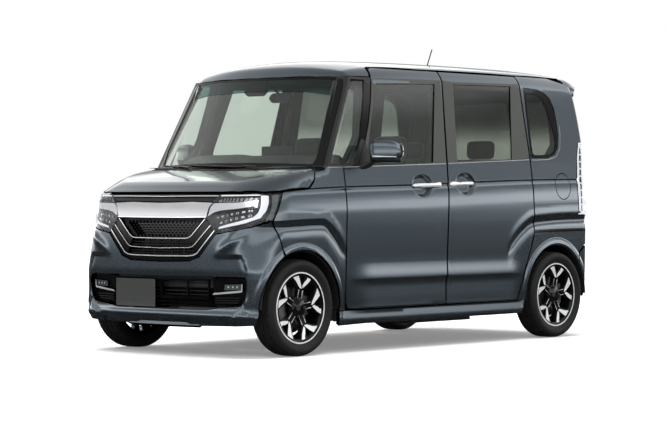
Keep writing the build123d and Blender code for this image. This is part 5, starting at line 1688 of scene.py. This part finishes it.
def swept(sections, around=24):
    """Points and faces through sections: (centre, half sizes along two axes, the axes, power)."""
    rings = []
    angles = np.linspace(0, 2 * math.pi, around, endpoint=False)
    for centre, half, axes, power in sections:
        cosine, sine = np.cos(angles), np.sin(angles)
        first = np.sign(cosine) * np.abs(cosine) ** (2 / power) * half[0]
        second = np.sign(sine) * np.abs(sine) ** (2 / power) * half[1]
        rings.append(np.array(centre) + np.outer(first, axes[0]) + np.outer(second, axes[1]))
    return loft(rings)


def single(name, mesh, material, body="body", angle=32):
    """One shaded piece from points and faces, with its faces turned outward."""
    points, faces = mesh
    shaded(build(name, points, outward(points, faces), material, body), angle)


def pair(name, mesh, material, body):
    """A left piece and its mirror image."""
    points, faces = mesh
    single(name, mesh, material, body)
    single(name.replace("left", "right"), (points * MIRROR, faces), material, body.replace("left", "right"))


X, Y, Z = (1, 0, 0), (0, 1, 0), (0, 0, 1)
print("sweeps ready")

# %% [markdown]
# A handle is a bar over its hollow, and follows the side of the body.

# %% Door handles
def handle(name, start, end, height, lock, body):
    """A bar over its cup, from start to end along the car, thicker at the end with the lock."""
    sections = []
    for part in np.linspace(0, 1, 25):
        y = start + (end - start) * part
        z = height + 7 * (part - 0.5)
        ends = max(0.05, (1 - abs(part * 2 - 1) ** 12) ** 0.5)
        near_lock = float(fade(np.array((part if lock > 0 else 1 - part) * 5 - 3.6)))
        beside = float(side_face(np.array(y), np.array(height + 40.0)))
        x = beside + 14 * math.sin(math.pi * part) ** 0.5 + 2
        half = ((6.5 + 2 * near_lock) * ends, (12 + 5 * near_lock) * ends)
        sections.append(((x, y, z), half, (X, Z), 2.8))
    pair(name, swept(sections, 20), chrome, body)


handle("door_handle_left", -240, 44, 998, 1, "front_door_left")
handle("slide_handle_left", 128, 372, 1008, -1, "body")
print("handles done")

# %% [markdown]
# The mirror is a boxy shell with a painted cap, a bright strip, a black lower rim and a foot on
# the corner of the door. Its rear face is the mirror glass.

# %% Mirrors
SWEEP_BACK = 52.0  # how far the outer end of the mirror trails


def trail(part):
    return SWEEP_BACK * part**1.6


def blunt(part):
    """1 over most of a length, and down to 0 close to both ends."""
    return (1 - abs(2 * part - 1) ** 5) ** 0.34


def mirror_sections(grow, low, high, front, rear, power):
    """Sections of the shell from the inner to the outer end, between two heights."""
    made = []
    for part in np.linspace(0, 1, 15):
        ends = blunt(part) if 0 < part < 1 else 0.05
        centre = (748 + 175 * part, (front + rear) / 2 + trail(part), (low + high) / 2 - 2 * part)
        half_deep = (rear - front) / 2 * ends * (1 - 0.1 * part) + grow
        half_tall = (high - low) / 2 * ends * (1 - 0.16 * part**3) + grow
        made.append((centre, (half_deep, half_tall), (Y, Z), power))
    return made


for name, sizes, material in (
    ("mirror_shell_left", (0, 1130, 1264, -698, -616, 3.4), paint),
    ("mirror_rim_left", (-2, 1128, 1160, -694, -604, 3.0), gloss_black),
    ("mirror_rear_left", (-5, 1136, 1262, -640, -602, 5.0), gloss_black),
):
    pair(name, swept(mirror_sections(*sizes), 32), material, "front_door_left")
glass_sections = [((762 + 146 * part, -601 + trail(part), 1199 - 2 * part), (1.5, 51 * blunt(part) + 0.5),
                   (Y, Z), 4.0) for part in np.linspace(0.01, 0.99, 15)]
pair("mirror_glass_left", swept(glass_sections, 28), chrome, "front_door_left")
light_sections = [((790 + 130 * part, -698 + trail(part) + 10 * part**6, 1166 - 3 * part),
                   (3.0, 4.6 * (1 - part * 0.5)), (Y, Z), 2.4) for part in np.linspace(0, 1, 10)]
pair("mirror_light_left", swept(light_sections, 14), lamp_white, "front_door_left")
foot_sections = [((704 + 66 * part, -690 + 36 * part, 1104 + 40 * part**1.5),
                  (30 - 4 * part, 15 + 6 * part * (1 - part)), (Y, Z), 3.0)
                 for part in np.linspace(0, 1, 10)]
pair("mirror_foot_left", swept(foot_sections, 24), satin_black, "front_door_left")
sail = [(-735, 1104), (-600, 1109), (-612, 1150), (-640, 1225), (-650, 1268), (-668, 1232), (-700, 1170)]
film("mirror_sail_left", sail, None, "front_door_left", lift=3, material=satin_black)
print("mirrors done")

# %% [markdown]
# Two wipers lie along the foot of the windscreen: an arm with a pivot, and a blade under it.
# The rear one hangs on the tailgate.

# %% Wipers
WIPER_LIMIT = 1688.5  # how far back the rear wiper may lie


def tube(points, radius, flat=1.0, around=10):
    """A thin bar along points, wider than deep when flat is above 1."""
    sections = []
    for point, way in zip(points, np.gradient(np.asarray(points, float), axis=0)):
        way = Vector(way).normalized()
        across = way.cross(Vector(Z)).normalized()
        sections.append((point, (radius * flat, radius), (tuple(across), tuple(across.cross(way))), 2.4))
    return swept(sections, around)


def screen_line(places, off):
    """Points a little in front of the windscreen, from (x, z) places."""
    found = front_points(places)
    return found + skin_normal(found) * off


for index, (pivot, tip) in enumerate((((300, 1092), (-300, 1112)), ((-240, 1090), (-600, 1114)))):
    line = [tuple(place) for place in np.linspace(pivot, tip, 12)]
    arm = screen_line(line[:8], 13)
    blade = screen_line([(x, z + 3) for x, z in line[2:]], 7)
    both_parts = joined([tube(arm, 5, 1.5), tube(blade, 3.5, 1.2)])
    shaded(build(f"wiper_{index}", *both_parts, satin_black, "body"))
rear_line = rear_points([(40, 1128), (-60, 1150), (-200, 1172), (-330, 1184)])
rear_line = rear_line + skin_normal(rear_line) * 12
rear_line[:, 1] = np.minimum(rear_line[:, 1], WIPER_LIMIT)
shaded(build("wiper_rear", *tube(rear_line, 6, 1.4), satin_black, "tailgate"))
print("wipers done")

# %% [markdown]
# The spoiler carries the roof on over the tailgate glass and turns down at its ends. The rear
# lamps are tall columns round the corners, red within and clear outside.

# %% Spoiler
SPOILER_HALF = 598  # half its width
SPOILER_MIDDLE = 1610  # the place along the car that its ends shrink towards
stations = np.concatenate([[-598, -596, -590, -580], np.linspace(-565, 565, 35), [580, 590, 596, 598]])
roof_tops = on_skin(*[(min(abs(x), 585), 1492, None) for x in stations])[:, 2]
spoiler_rings = []
for x, top in zip(stations, roof_tops):
    shrink = 1 - 0.5 * max(0.0, (abs(x) - 572) / 26) ** 2
    low = 1655 - 58 * float(fade(np.array((abs(x) - 500) / 70)))
    back = 1692 - 26 * (abs(x) / SPOILER_HALF) ** 4
    middle = (top + low) / 2 - 10
    side_view = [(1528, low + 20), (1526, top - 8), (1560, top - 5), (1610, top - 13),
                 (back - 22, top - 29), (back - 4, top - 37), (back, top - 48),
                 (back - 4, (top + low) / 2 - 18), (back - 12, low + 8), (back - 26, low),
                 (1610, low - 4), (1560, low + 4)]
    ring = [(x, SPOILER_MIDDLE + (y - SPOILER_MIDDLE) * shrink, middle + (z - middle) * shrink)
            for y, z in side_view]
    spoiler_rings.append(ring)
single("spoiler", loft(spoiler_rings), paint, "tailgate", 28)
stop_lamp = [((x, 1688, 1690), (5, 7), (Y, Z), 3.0) for x in np.linspace(-150, 150, 13)]
single("stop_lamp", swept(stop_lamp, 14), lamp_red, "tailgate")
print("spoiler done")

# %% [markdown]
# The columns hold red cells, two of them white, behind a clear cover.

# %% Rear lamps
lamp_side = side_points([(1521, 815), (1512, 980), (1517, 1056), (1541, 1190), (1573, 1283)])
lamp_column = np.vstack([lamp_side, rear_points([(640, 1283), (614, 1200), (611, 1000), (609, 815)])])


def column_part(name, outline, material, depth, thick=5.0, roll=1.5):
    fitting(name, tail_chart, outline, material, lift=-depth, thick=thick, mirror=True, spacing=18,
            roll=roll, corner=5)


column_part("rear_lamp_box_left", lamp_column, lamp_black, 34)
column_part("rear_lamp_cover_left", lamp_column, lens, 0.8, 2.0)
strip_front = [(1534, 830), (1526, 980), (1531, 1056), (1554, 1190), (1580, 1268)]
strip_rear = [(1598, 1268), (1580, 1190), (1560, 1056), (1556, 980), (1562, 830)]
column_part("rear_lamp_strip_left", side_points(strip_front + strip_rear), lamp_white, 10, 10)
for row in range(9):
    low = 832 + row * 48
    cell = rear_points([(632, low), (668, low), (666, low + 40), (630, low + 40)])
    column_part(f"rear_lamp_cell_left_{row}", cell, lamp_white if row in (3, 4) else lamp_red, 12, 10, 3)
print("rear lamps done")

# %% [markdown]
# The seats are foam under woven cloth. Each pad starts as a rounded box of even quads a little
# smaller than its place, is blown up by a short cloth simulation with its move capped, and then
# gets its sewn channels by moving vertices in, since a simulation would smooth them away.

# %% Rounded boxes
def rounded_box(size, corner, grid):
    """Points and faces of a box with round edges, centred on the origin, in millimetres."""
    half = np.array(size) / 2
    shape = bmesh.new()
    for axis, sign in ((a, s) for a in range(3) for s in (-1, 1)):
        first, second = (axis + 1) % 3, (axis + 2) % 3
        n, m = (max(2, round(size[k] / grid)) for k in (first, second))
        lattice = []
        for i in range(n + 1):
            row = []
            for j in range(m + 1):
                point = [0.0, 0.0, 0.0]
                point[axis] = sign * half[axis]
                point[first] = half[first] * (2 * i / n - 1)
                point[second] = half[second] * (2 * j / m - 1)
                row.append(shape.verts.new(point))
            lattice.append(row)
        for i in range(n):
            for j in range(m):
                face = (lattice[i][j], lattice[i + 1][j], lattice[i + 1][j + 1], lattice[i][j + 1])
                shape.faces.new(face if sign > 0 else face[::-1])
    bmesh.ops.remove_doubles(shape, verts=shape.verts, dist=0.01)
    shape.verts.index_update()
    points = np.array([tuple(v.co) for v in shape.verts])
    faces = [tuple(v.index for v in f.verts) for f in shape.faces]
    shape.free()
    inner = np.clip(points, corner - half, half - corner)
    away = points - inner
    return inner + away / np.linalg.norm(away, axis=1)[:, None] * corner, faces


print("points of a small box:", len(rounded_box((90, 90, 90), 10, 30)[0]))

# %% [markdown]
# Each pad is made twice, left and right of the middle of the car.

# %% Pads
PAD_GRID = 16.0  # millimetres between vertices
PAD_CAP = 0.024  # metres that a vertex may move
PAD_SPARE = 26  # how much smaller than its place a pad starts
PAD_FRAMES = 20
pads = []


def pad(name, size, place, tilt, corner, seams, bolster=0.0, thin=1):
    """A left and a right pad of one shape. Thin is the axis through it, seams are (axis, place)."""
    points, faces = rounded_box(np.array(size) - PAD_SPARE, corner, PAD_GRID)
    side = 1 if thin == 2 else -1  # the face that is sat on looks up, and the others look ahead
    wide = np.abs(points[:, 0]) / (size[0] / 2)
    on_face = np.where(points[:, thin] * side > 0, 1, 0)
    points[:, thin] += on_face * bolster * side * fade((wide - 0.55) / 0.25)
    places = {"left": place, "right": tuple(np.array(place) * MIRROR)}
    soft = build("soft_" + name, points, faces, fabric, None)
    pads.append({"name": name, "points": points, "faces": faces, "places": places, "tilt": tilt,
                 "seams": seams, "thin": thin, "side": side, "soft": soft})


pad("front_cushion", (520, 520, 150), (335, -300, 560), 4, 44, [(0, -118), (0, 118), (1, -70), (1, 60)],
    16, 2)
pad("front_back", (500, 128, 600), (335, -8, 862), -5, 40, [(0, -118), (0, 118), (2, -80), (2, 110)], 22)
pad("front_headrest", (270, 104, 190), (335, 12, 1226), -4, 42, [])
pad("rear_cushion", (508, 480, 150), (256, 720, 600), 3, 44, [(0, -130), (0, 130), (1, 40)], 6, 2)
pad("rear_back", (508, 122, 560), (256, 990, 900), -4, 40, [(0, -130), (0, 130), (2, 60)], 8)
pad("rear_headrest", (240, 90, 150), (300, 994, 1235), -3, 36, [])
print("pads:", sum(len(p["places"]) for p in pads))

# %% [markdown]
# The cloth runs for twenty frames, and then each vertex keeps at most its allowed move.

# %% Blow up the pads
scene = bpy.context.scene
for entry in pads:
    cloth = entry["soft"].modifiers.new("cloth", "CLOTH")
    cloth.settings.use_pressure = True
    cloth.settings.uniform_pressure_force = 4
    cloth.settings.effector_weights.gravity = 0
    cloth.settings.quality = 4
for frame_number in range(1, PAD_FRAMES + 1):
    scene.frame_set(frame_number)
for entry in pads:
    depsgraph = bpy.context.evaluated_depsgraph_get()
    blown = bpy.data.meshes.new_from_object(entry["soft"].evaluated_get(depsgraph))
    puffed = np.array([tuple(v.co) for v in blown.vertices])
    start = entry["points"] * 0.001
    move = puffed - start
    reach = np.linalg.norm(move, axis=1)[:, None]
    entry["points"] = (start + move * np.minimum(1, PAD_CAP / np.maximum(reach, 1e-9))) * 1000
    bpy.data.objects.remove(entry["soft"])
scene.frame_set(1)
print("pads blown up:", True)

# %% [markdown]
# The channels run along and across each pad, on the side that is sat on or leaned against.

# %% Sew and place the pads
SEAM_DEPTH, SEAM_WIDTH = 11, 11.0


def sewn(points, entry):
    """The pad's points with its channels pressed into the face."""
    thin, side = entry["thin"], entry["side"]
    long_axis = 2 if thin == 1 else 1
    depth = points[:, thin] * side
    on_face = fade((depth - 0.45 * depth.max()) / (0.4 * depth.max()))
    sunk = np.zeros(len(points))
    for axis, line in entry["seams"]:
        lengthwise = axis == 0
        limit = 0.36 * np.ptp(points[:, long_axis]) if lengthwise else 125
        other = points[:, long_axis if lengthwise else 0]
        near = np.exp(-((points[:, axis] - line) / SEAM_WIDTH) ** 2)
        sunk = np.maximum(sunk, near * fade((limit + 12 - np.abs(other)) / 24))
    points = points.copy()
    points[:, thin] -= side * SEAM_DEPTH * sunk * on_face
    return points


def leaned(points, degrees):
    """Points turned about the X axis."""
    cosine, sine = math.cos(math.radians(degrees)), math.sin(math.radians(degrees))
    x, y, z = points.T
    return np.column_stack([x, y * cosine - z * sine, y * sine + z * cosine])


for entry in pads:
    points = leaned(sewn(entry["points"], entry), entry["tilt"])
    for label, place in entry["places"].items():
        piece = build(f"{entry['name']}_{label}", points + place, entry["faces"], fabric, "body",
                      slot="seat_fabric")
        finer = piece.modifiers.new("finer", "SUBSURF")
        finer.levels = finer.render_levels = 1
print("pads placed")

# %% [markdown]
# Plain bases carry the cushions, and two posts carry each headrest.

# %% Seat frames
def block(name, centre, size):
    points, faces = rounded_box(size, 22, 60)
    single(name, (points + centre, faces), black_plastic, angle=30)


for side, label in ((1, "left"), (-1, "right")):
    block(f"front_seat_base_{label}", (side * 335, -270, 400), (440, 430, 200))
    block(f"rear_seat_base_{label}", (side * 250, 690, 420), (470, 300, 230))
    for row, middle, y, z in (("front", 335, 8, 1130), ("rear", 300, 992, 1160)):
        post_places = (side * middle - 55, side * middle + 55)
        posts = [tube([(x, y - 4, z - 40), (x, y, z), (x, y, z + 50)], 6) for x in post_places]
        single(f"{row}_headrest_posts_{label}", joined(posts), dark_steel)
print("seat frames done")

# %% [markdown]
# The dash is one long moulding with a shelf along the screen, a hood over the dials and a
# screen in the middle. It is lofted across the car, its section changing where the hood is.

# %% Dashboard
def hood(x, centre, width):
    return float(fade(np.array((width - abs(x - centre)) / 45)))


dash_rings = []
for x in np.linspace(-585, 585, 53):
    dial = hood(x, -340, 215)
    end = 0.94 if abs(x) > 580 else 1.0
    upper = 1178 + 8 * dial
    front_y = -1010 + 90 * (x / 585) ** 2
    section = [(front_y, 1080), (front_y, 1112), (-900, 1150), (-830, upper - 6), (-785, upper),
               (-738, upper - 4), (-724, upper - 22), (-726, 1085 + 20 * dial), (-738, 1050), (-712, 960),
               (-700, 940), (-740, 860), (-800, 760), (-930, 700)]
    dash_rings.append([(x, y, 900 + (z - 900) * end) for y, z in section])
single("dash_moulding", loft(dash_rings), dash_plastic, angle=40)
print("dash moulding done")

# %% [markdown]
# A console hangs below the middle, and a screen, dials and four vents are set in the dash.

# %% Dash fittings
stack_section = ((-700, 960), (-668, 968), (-655, 900), (-668, 700), (-700, 560), (-760, 470),
                 (-860, 470), (-860, 960))
centre_stack = [[(x, y, z) for y, z in stack_section] for x in np.linspace(-118, 118, 9)]
single("centre_stack", loft(centre_stack), black_plastic, angle=40)
for name, x, z, width, tall in (("screen", 34, 1166, 236, 140), ("dials", -340, 1128, 250, 60)):
    face = [((x + width * part, -718 - 6 * math.cos(3 * part), z), (7, tall / 2), (Y, Z), 7.0)
            for part in np.linspace(-0.5, 0.5, 9)]
    single(f"dash_{name}", swept(face, 28), gloss_black, angle=30)
for index, (x, z) in enumerate(((-540, 1060), (-130, 1010), (200, 1010), (540, 1060))):
    vent = [((x + 84 * part, -728, z), (8, 30), (Y, Z), 3.0) for part in np.linspace(-0.5, 0.5, 7)]
    slats = [swept([((x + 76 * part, -718, z + row), (5, 2.2), (Y, Z), 3.0) for part in (-0.5, 0, 0.5)], 12)
             for row in (-16, 0, 16)]
    single(f"dash_vent_{index}", swept(vent, 20), gloss_black)
    single(f"dash_slats_{index}", joined(slats), satin_chrome)
print("dashboard done")

# %% [markdown]
# The wheel is tilted, so its parts are placed by its own up and out directions.

# %% Steering wheel
wheel_middle = np.array([-340.0, -600.0, 1035.0])
lean = math.radians(30)
wheel_up = np.array([0, -math.sin(lean), math.cos(lean)])
wheel_out = np.array([0, math.cos(lean), math.sin(lean)])
RIM_RADIUS, RIM_SQUASH = 166, 0.95
grip_angles = np.linspace(0, 2 * math.pi, 20, endpoint=False)
rim_rings = []
for angle in np.linspace(0, 2 * math.pi, 65):
    way = np.array([math.cos(angle), 0, 0]) + wheel_up * math.sin(angle)
    thick = (13 + 2.5 * (abs(math.sin(angle) - 0.1) < 0.35)) * RIM_SQUASH
    ring = [wheel_middle + way * (RIM_RADIUS + thick * math.cos(t)) + wheel_out * thick * math.sin(t)
            for t in grip_angles]
    rim_rings.append(ring)
arms = []
for angle, reach in ((0.08, 160), (math.pi - 0.08, 160), (-math.pi / 2, 158)):
    way = np.array([math.cos(angle), 0, 0]) + wheel_up * math.sin(angle)
    axes = (np.cross(way, wheel_out), wheel_out)
    arm = [(wheel_middle + way * r - wheel_out * (22 - 14 * r / reach), (20 - 9 * r / reach, 6), axes, 3.0)
           for r in np.linspace(30, reach, 8)]
    arms.append(swept(arm, 18))
boss = [(wheel_middle + wheel_out * (d - 24), (s, s * 0.86), (X, wheel_up), 2.8)
        for d, s in ((-26, 24), (-24, 50), (-6, 60), (4, 58), (12, 46), (15, 20))]
single("steering_wheel_rim", loft(rim_rings), dash_plastic, "steering_wheel", 50)
single("steering_wheel_hub", joined(arms + [swept(boss, 32)]), black_plastic, "steering_wheel", 40)
column = [(wheel_middle + wheel_out * out, (half, half), (X, wheel_up), 2.6)
          for out, half in ((-150, 44), (-60, 40), (-52, 34))]
single("steering_column", swept(column, 24), black_plastic, angle=40)
print("steering wheel done")

# %% [markdown]
# Inside the skins the doors carry trim, the roof a felt liner, and the posts moulded covers.
# They are cut by the same charts as the outer panels and lie further in.

# %% Trims
def trim(name, outline, depth, material, body="front_door_left", chart=nose_chart, hole=None, thick=14):
    panel(name, chart, side_points(outline), material, body, holes=ringed(hole), lift=-depth, thick=thick,
          mirror=True, lines=False, spacing=50, roll=4, corner=24, gap=8)


door_low = [(-818, 300), (96, 290), (98, 1122), (-742, 1096), (-812, 1000)]
trim("door_trim_left", door_low, 74, inner_trim)
trim("door_pocket_left", [(-780, 330), (40, 330), (40, 520), (-760, 500)], 88, black_plastic, thick=22)
trim("door_arm_rest_left", [(-560, 770), (40, 790), (44, 850), (-540, 836)], 90, black_plastic, thick=40)
door_frame = [(-722, 1106), (-600, 1364), (-545, 1600), (-500, 1690), (100, 1694), (112, 1640), (96, 1134)]
trim("door_frame_left", door_frame, 16, black_plastic, hole=front_window, thick=16)
trim("door_edge_left", [(-822, 290), (100, 280), (104, 1116), (-822, 1092)], 40, paint, thick=30)
slide_low = [(150, 300), (770, 300), (850, 560), (940, 700), (966, 1150), (160, 1124)]
trim("slide_trim_left", slide_low, 60, inner_trim, "body")
trim("slide_arm_rest_left", [(330, 790), (820, 800), (820, 860), (340, 850)], 74, black_plastic,
     "body", thick=34)
trim("cargo_trim_left", [(1020, 700), (1480, 700), (1480, 1150), (1030, 1140)], 60, inner_trim,
     "body", tail_chart)
print("side trims done")

# %% [markdown]
# The liner follows the roof from below, and the mirror hangs on a stalk from it.

# %% Headliner and inside mirror
liner = np.vstack([
    front_points([(0, 1668), (300, 1664), (520, 1658)]),
    side_points([(-640, 1690), (0, 1716), (1440, 1716)]),
    on_skin((420, 1440, None), (0, 1430, None)),
])
panel("headliner_felt", roof_chart, both(liner), headliner, "body", lift=-58, thick=8, lines=False,
      spacing=70, roll=3)
mirror_line = [((20 + 116 * part, -660 - 26 * part, 1536), (9, 31 * max(0.1, 1 - abs(part) ** 7) ** 0.5),
                (Y, Z), 3.0) for part in np.linspace(-1, 1, 19)]
stalk = [(20, -668, 1550), (16, -720, 1590), (10, -780, 1634)]
single("inside_mirror", joined([swept(mirror_line, 22), tube(stalk, 7)]), black_plastic)
print("headliner done")

# %% [markdown]
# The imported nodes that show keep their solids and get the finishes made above. The others are
# hidden, because a piece made here stands for them.

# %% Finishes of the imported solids
node_finishes = {
    "floor_pan": dark_steel, "body_frame": inner_trim, "screen_pillars": satin_black,
    "cowl": black_plastic, "arch_liners": black_plastic, "front_frame": dark_steel,
    "engine_block": cast_metal, "front_suspension": dark_steel, "knuckle_left": cast_metal,
    "knuckle_right": cast_metal, "rear_axle": dark_steel, "exhaust": exhaust_steel,
    "fuel_tank": dark_steel, "dashboard": dash_plastic, "steering_wheel": dash_plastic,
    "front_seats": fabric, "rear_seat": fabric, "antenna": satin_black, "mirror_left": paint,
    "mirror_right": paint, "tail_lamps": lens, "front_lamps": lamp_black, "grille": black_plastic,
    "fuel_lid": paint, "windscreen": glass, "side_glass": glass, "tailgate_glass": dark_glass,
}
for name, item in nodes.items():
    chosen = node_finishes.get(name)
    if name.startswith("tyre_"):
        chosen = tyre_rubber
    if name.startswith("rim_"):
        chosen = machined
    for slot in item.material_slots:
        slot.material = chosen or paint
print("packed nodes finished:", len(nodes))

# %% [markdown]
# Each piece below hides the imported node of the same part.

# %% Nodes that pieces stand for
stands_for = {
    "front_door_skin_left": ["front_door_left"], "front_door_skin_right": ["front_door_right"],
    "sliding_door_skin_left": ["sliding_doors"], "front_wing_left": ["front_fenders"],
    "quarter_left": ["quarter_panels"], "fuel_lid_skin": ["fuel_lid"], "skirt_left": ["side_skirts"],
    "bonnet_skin": ["bonnet"], "roof_skin": ["roof"], "front_bumper_skin": ["front_bumper"],
    "rear_bumper_skin": ["rear_bumper"], "tailgate_skin": ["tailgate"],
    "front_door_glass_left": ["door_glass_left"], "front_door_glass_right": ["door_glass_right"],
    "slide_glass_left": ["side_glass"], "windscreen_glass": ["windscreen"],
    "tailgate_glass_pane": ["tailgate_glass"], "grille_mesh": ["grille"],
    "headlamp_box_left": ["front_lamps"], "rear_lamp_box_left": ["tail_lamps"],
    "front_cushion_left": ["front_seats"], "rear_cushion_left": ["rear_seat"],
    "dash_moulding": ["dashboard"], "steering_wheel_rim": ["steering_wheel"],
    "mirror_shell_left": ["mirror_left"], "mirror_shell_right": ["mirror_right"],
}
for name, hidden in stands_for.items():
    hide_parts(*hidden)
print("nodes replaced:", sum(len(hidden) for hidden in stands_for.values()))

# %% [markdown]
# The studio is a pale floor, soft lamps and a tent. Colours should render about as they are
# written, so the lamps stay plain. Light Path makes the floor and the world white to the camera,
# to gloss and to glass, while the two give the car only a little light.

# %% What sees white
def seen_white(tree):
    """1 for what the camera, gloss and glass see, and 0 for what gloss sees through glass."""
    paths = node(tree, "ShaderNodeLightPath")
    plain = math_node(tree, "LESS_THAN", paths.outputs["Glossy Depth"], 0.5)
    through = math_node(tree, "MULTIPLY", paths.outputs["Is Transmission Ray"], plain)
    direct = math_node(tree, "MAXIMUM", paths.outputs["Is Camera Ray"], paths.outputs["Is Glossy Ray"])
    return math_node(tree, "MAXIMUM", direct, through)


def scenery(name, points, faces):
    """An object of the studio with a material of its own: the object and the material's nodes."""
    mesh = bpy.data.meshes.new(name)
    mesh.from_pydata(points, [], faces)
    material = bpy.data.materials.new(name)
    material.use_nodes = True
    mesh.materials.append(material)
    made = bpy.data.objects.new(name, mesh)
    bpy.context.scene.collection.objects.link(made)
    return made, material.node_tree


print("studio helpers ready")

# %% [markdown]
# The floor is white far off, and near the car it keeps the shadows.

# %% Floor
FLOOR_HALF = 60
FLOOR_LIFT = 0.22  # what the camera sees near the car, beside the lamps' light
FLOOR_NEAR, FLOOR_FAR = 2.5, 6.0  # metres from the middle between which the floor turns white
corners = [(-FLOOR_HALF, -FLOOR_HALF, 0), (FLOOR_HALF, -FLOOR_HALF, 0), (FLOOR_HALF, FLOOR_HALF, 0),
           (-FLOOR_HALF, FLOOR_HALF, 0)]
floor, tree = scenery("floor", corners, [(0, 1, 2, 3)])
floor.visible_glossy = False  # gloss sees the tent instead
shader = tree.nodes["Principled BSDF"]
shader.inputs["Base Color"].default_value = (0.86, 0.86, 0.86, 1)
shader.inputs["Roughness"].default_value = 0.9
shader.inputs["Emission Color"].default_value = (1, 1, 1, 1)
place = node(tree, "ShaderNodeTexCoord")
radius = node(tree, "ShaderNodeVectorMath", operation="LENGTH")
tree.links.new(place.outputs["Object"], radius.inputs[0])
far = node(tree, "ShaderNodeMapRange", interpolation_type="SMOOTHSTEP")
far_range = {"From Min": FLOOR_NEAR, "From Max": FLOOR_FAR, "To Min": FLOOR_LIFT, "To Max": 1.0}
for label, value in far_range.items():
    far.inputs[label].default_value = value
tree.links.new(radius.outputs["Value"], far.inputs["Value"])
whiteness = math_node(tree, "MULTIPLY", seen_white(tree), far.outputs[0])
tree.links.new(whiteness, shader.inputs["Emission Strength"])
print("floor corners:", len(corners))

# %% [markdown]
# The tent is a sphere that only gloss sees. Its levels are (height over radius, brightness): dark
# below, a pale band at eye level, dark again, then soft light. They draw the long reflections.

# %% Tent
TENT_LEVELS = ((-1.0, 0.01), (-0.2, 0.012), (0.0, 0.016), (0.04, 0.025), (0.075, 0.08), (0.105, 0.42),
               (0.135, 0.95), (0.165, 1.0), (0.195, 0.4), (0.23, 0.14), (0.33, 0.1), (0.365, 0.5),
               (0.4, 0.62), (0.44, 0.5), (0.53, 0.38), (0.62, 0.34), (0.75, 0.22), (1.0, 0.1))
TENT_POWER = 2.8
TENT_RADIUS = 9  # metres
TENT_RINGS, TENT_SIDES = 40, 48
steep = math.pi / 2 - 0.01
tent_points = [(TENT_RADIUS * math.cos(e) * math.cos(a), TENT_RADIUS * math.cos(e) * math.sin(a),
                TENT_RADIUS * math.sin(e))
               for e in np.linspace(-steep, steep, TENT_RINGS)
               for a in np.linspace(0, 2 * math.pi, TENT_SIDES, endpoint=False)]
tent_faces = [(low + side, low + after, low + TENT_SIDES + after, low + TENT_SIDES + side)
              for low in range(0, (TENT_RINGS - 1) * TENT_SIDES, TENT_SIDES)
              for side, after in zip(range(TENT_SIDES), [*range(1, TENT_SIDES), 0])]
tent, tree = scenery("tent", tent_points, tent_faces)
tent.visible_camera = tent.visible_diffuse = tent.visible_transmission = tent.visible_shadow = False
tree.nodes.clear()
ramp = node(tree, "ShaderNodeValToRGB")
part_up = math_node(tree, "ADD", math_node(tree, "DIVIDE", own_height(tree), 2.0 * TENT_RADIUS), 0.5)
tree.links.new(part_up, ramp.inputs["Fac"])
for index, (height, level) in enumerate(TENT_LEVELS):
    stop = ramp.color_ramp.elements[index] if index < 2 else ramp.color_ramp.elements.new(height)
    stop.position, stop.color = height / 2 + 0.5, (level, level, level * 1.01, 1)
glow = node(tree, "ShaderNodeEmission", Strength=TENT_POWER)
tree.links.new(ramp.outputs["Color"], glow.inputs["Color"])
tree.links.new(glow.outputs[0], node(tree, "ShaderNodeOutputMaterial").inputs["Surface"])
print("tent faces:", len(tent_faces))

# %% [markdown]
# The world is white to look at and dimmer as a light. Three soft lamps do the rest.

# %% World and lamps
ROOM_LIGHT = 0.45  # the light that the white room gives, against 1 where it is seen
world = bpy.data.worlds.new("studio")
bpy.context.scene.world = world
world.use_nodes = True
tree = world.node_tree
background = tree.nodes["Background"]
background.inputs["Color"].default_value = (1, 1, 1, 1)
level = node(tree, "ShaderNodeMapRange")
level.inputs["To Min"].default_value = ROOM_LIGHT
level.inputs["To Max"].default_value = 1.0
tree.links.new(seen_white(tree), level.inputs["Value"])
tree.links.new(level.outputs[0], background.inputs["Strength"])


def lamp(place, size, power):
    """A soft square lamp that faces the car and makes no glints, in metres and watts."""
    data = bpy.data.lights.new("soft", "AREA")
    data.shape, data.size, data.energy = "SQUARE", size, power
    made = bpy.data.objects.new("soft", data)
    bpy.context.scene.collection.objects.link(made)
    made.location = place
    made.rotation_euler = (Vector((0, 0, 0.6)) - Vector(place)).to_track_quat("-Z", "Y").to_euler()
    made.visible_glossy = False


lamp((0, 0, 6.0), 6.0, 620)
lamp((6, -6, 5), 4.0, 260)
lamp((-6, 2, 5), 4.0, 160)
bpy.context.scene.view_settings.view_transform = "Standard"
print("lamps:", len(bpy.data.lights))
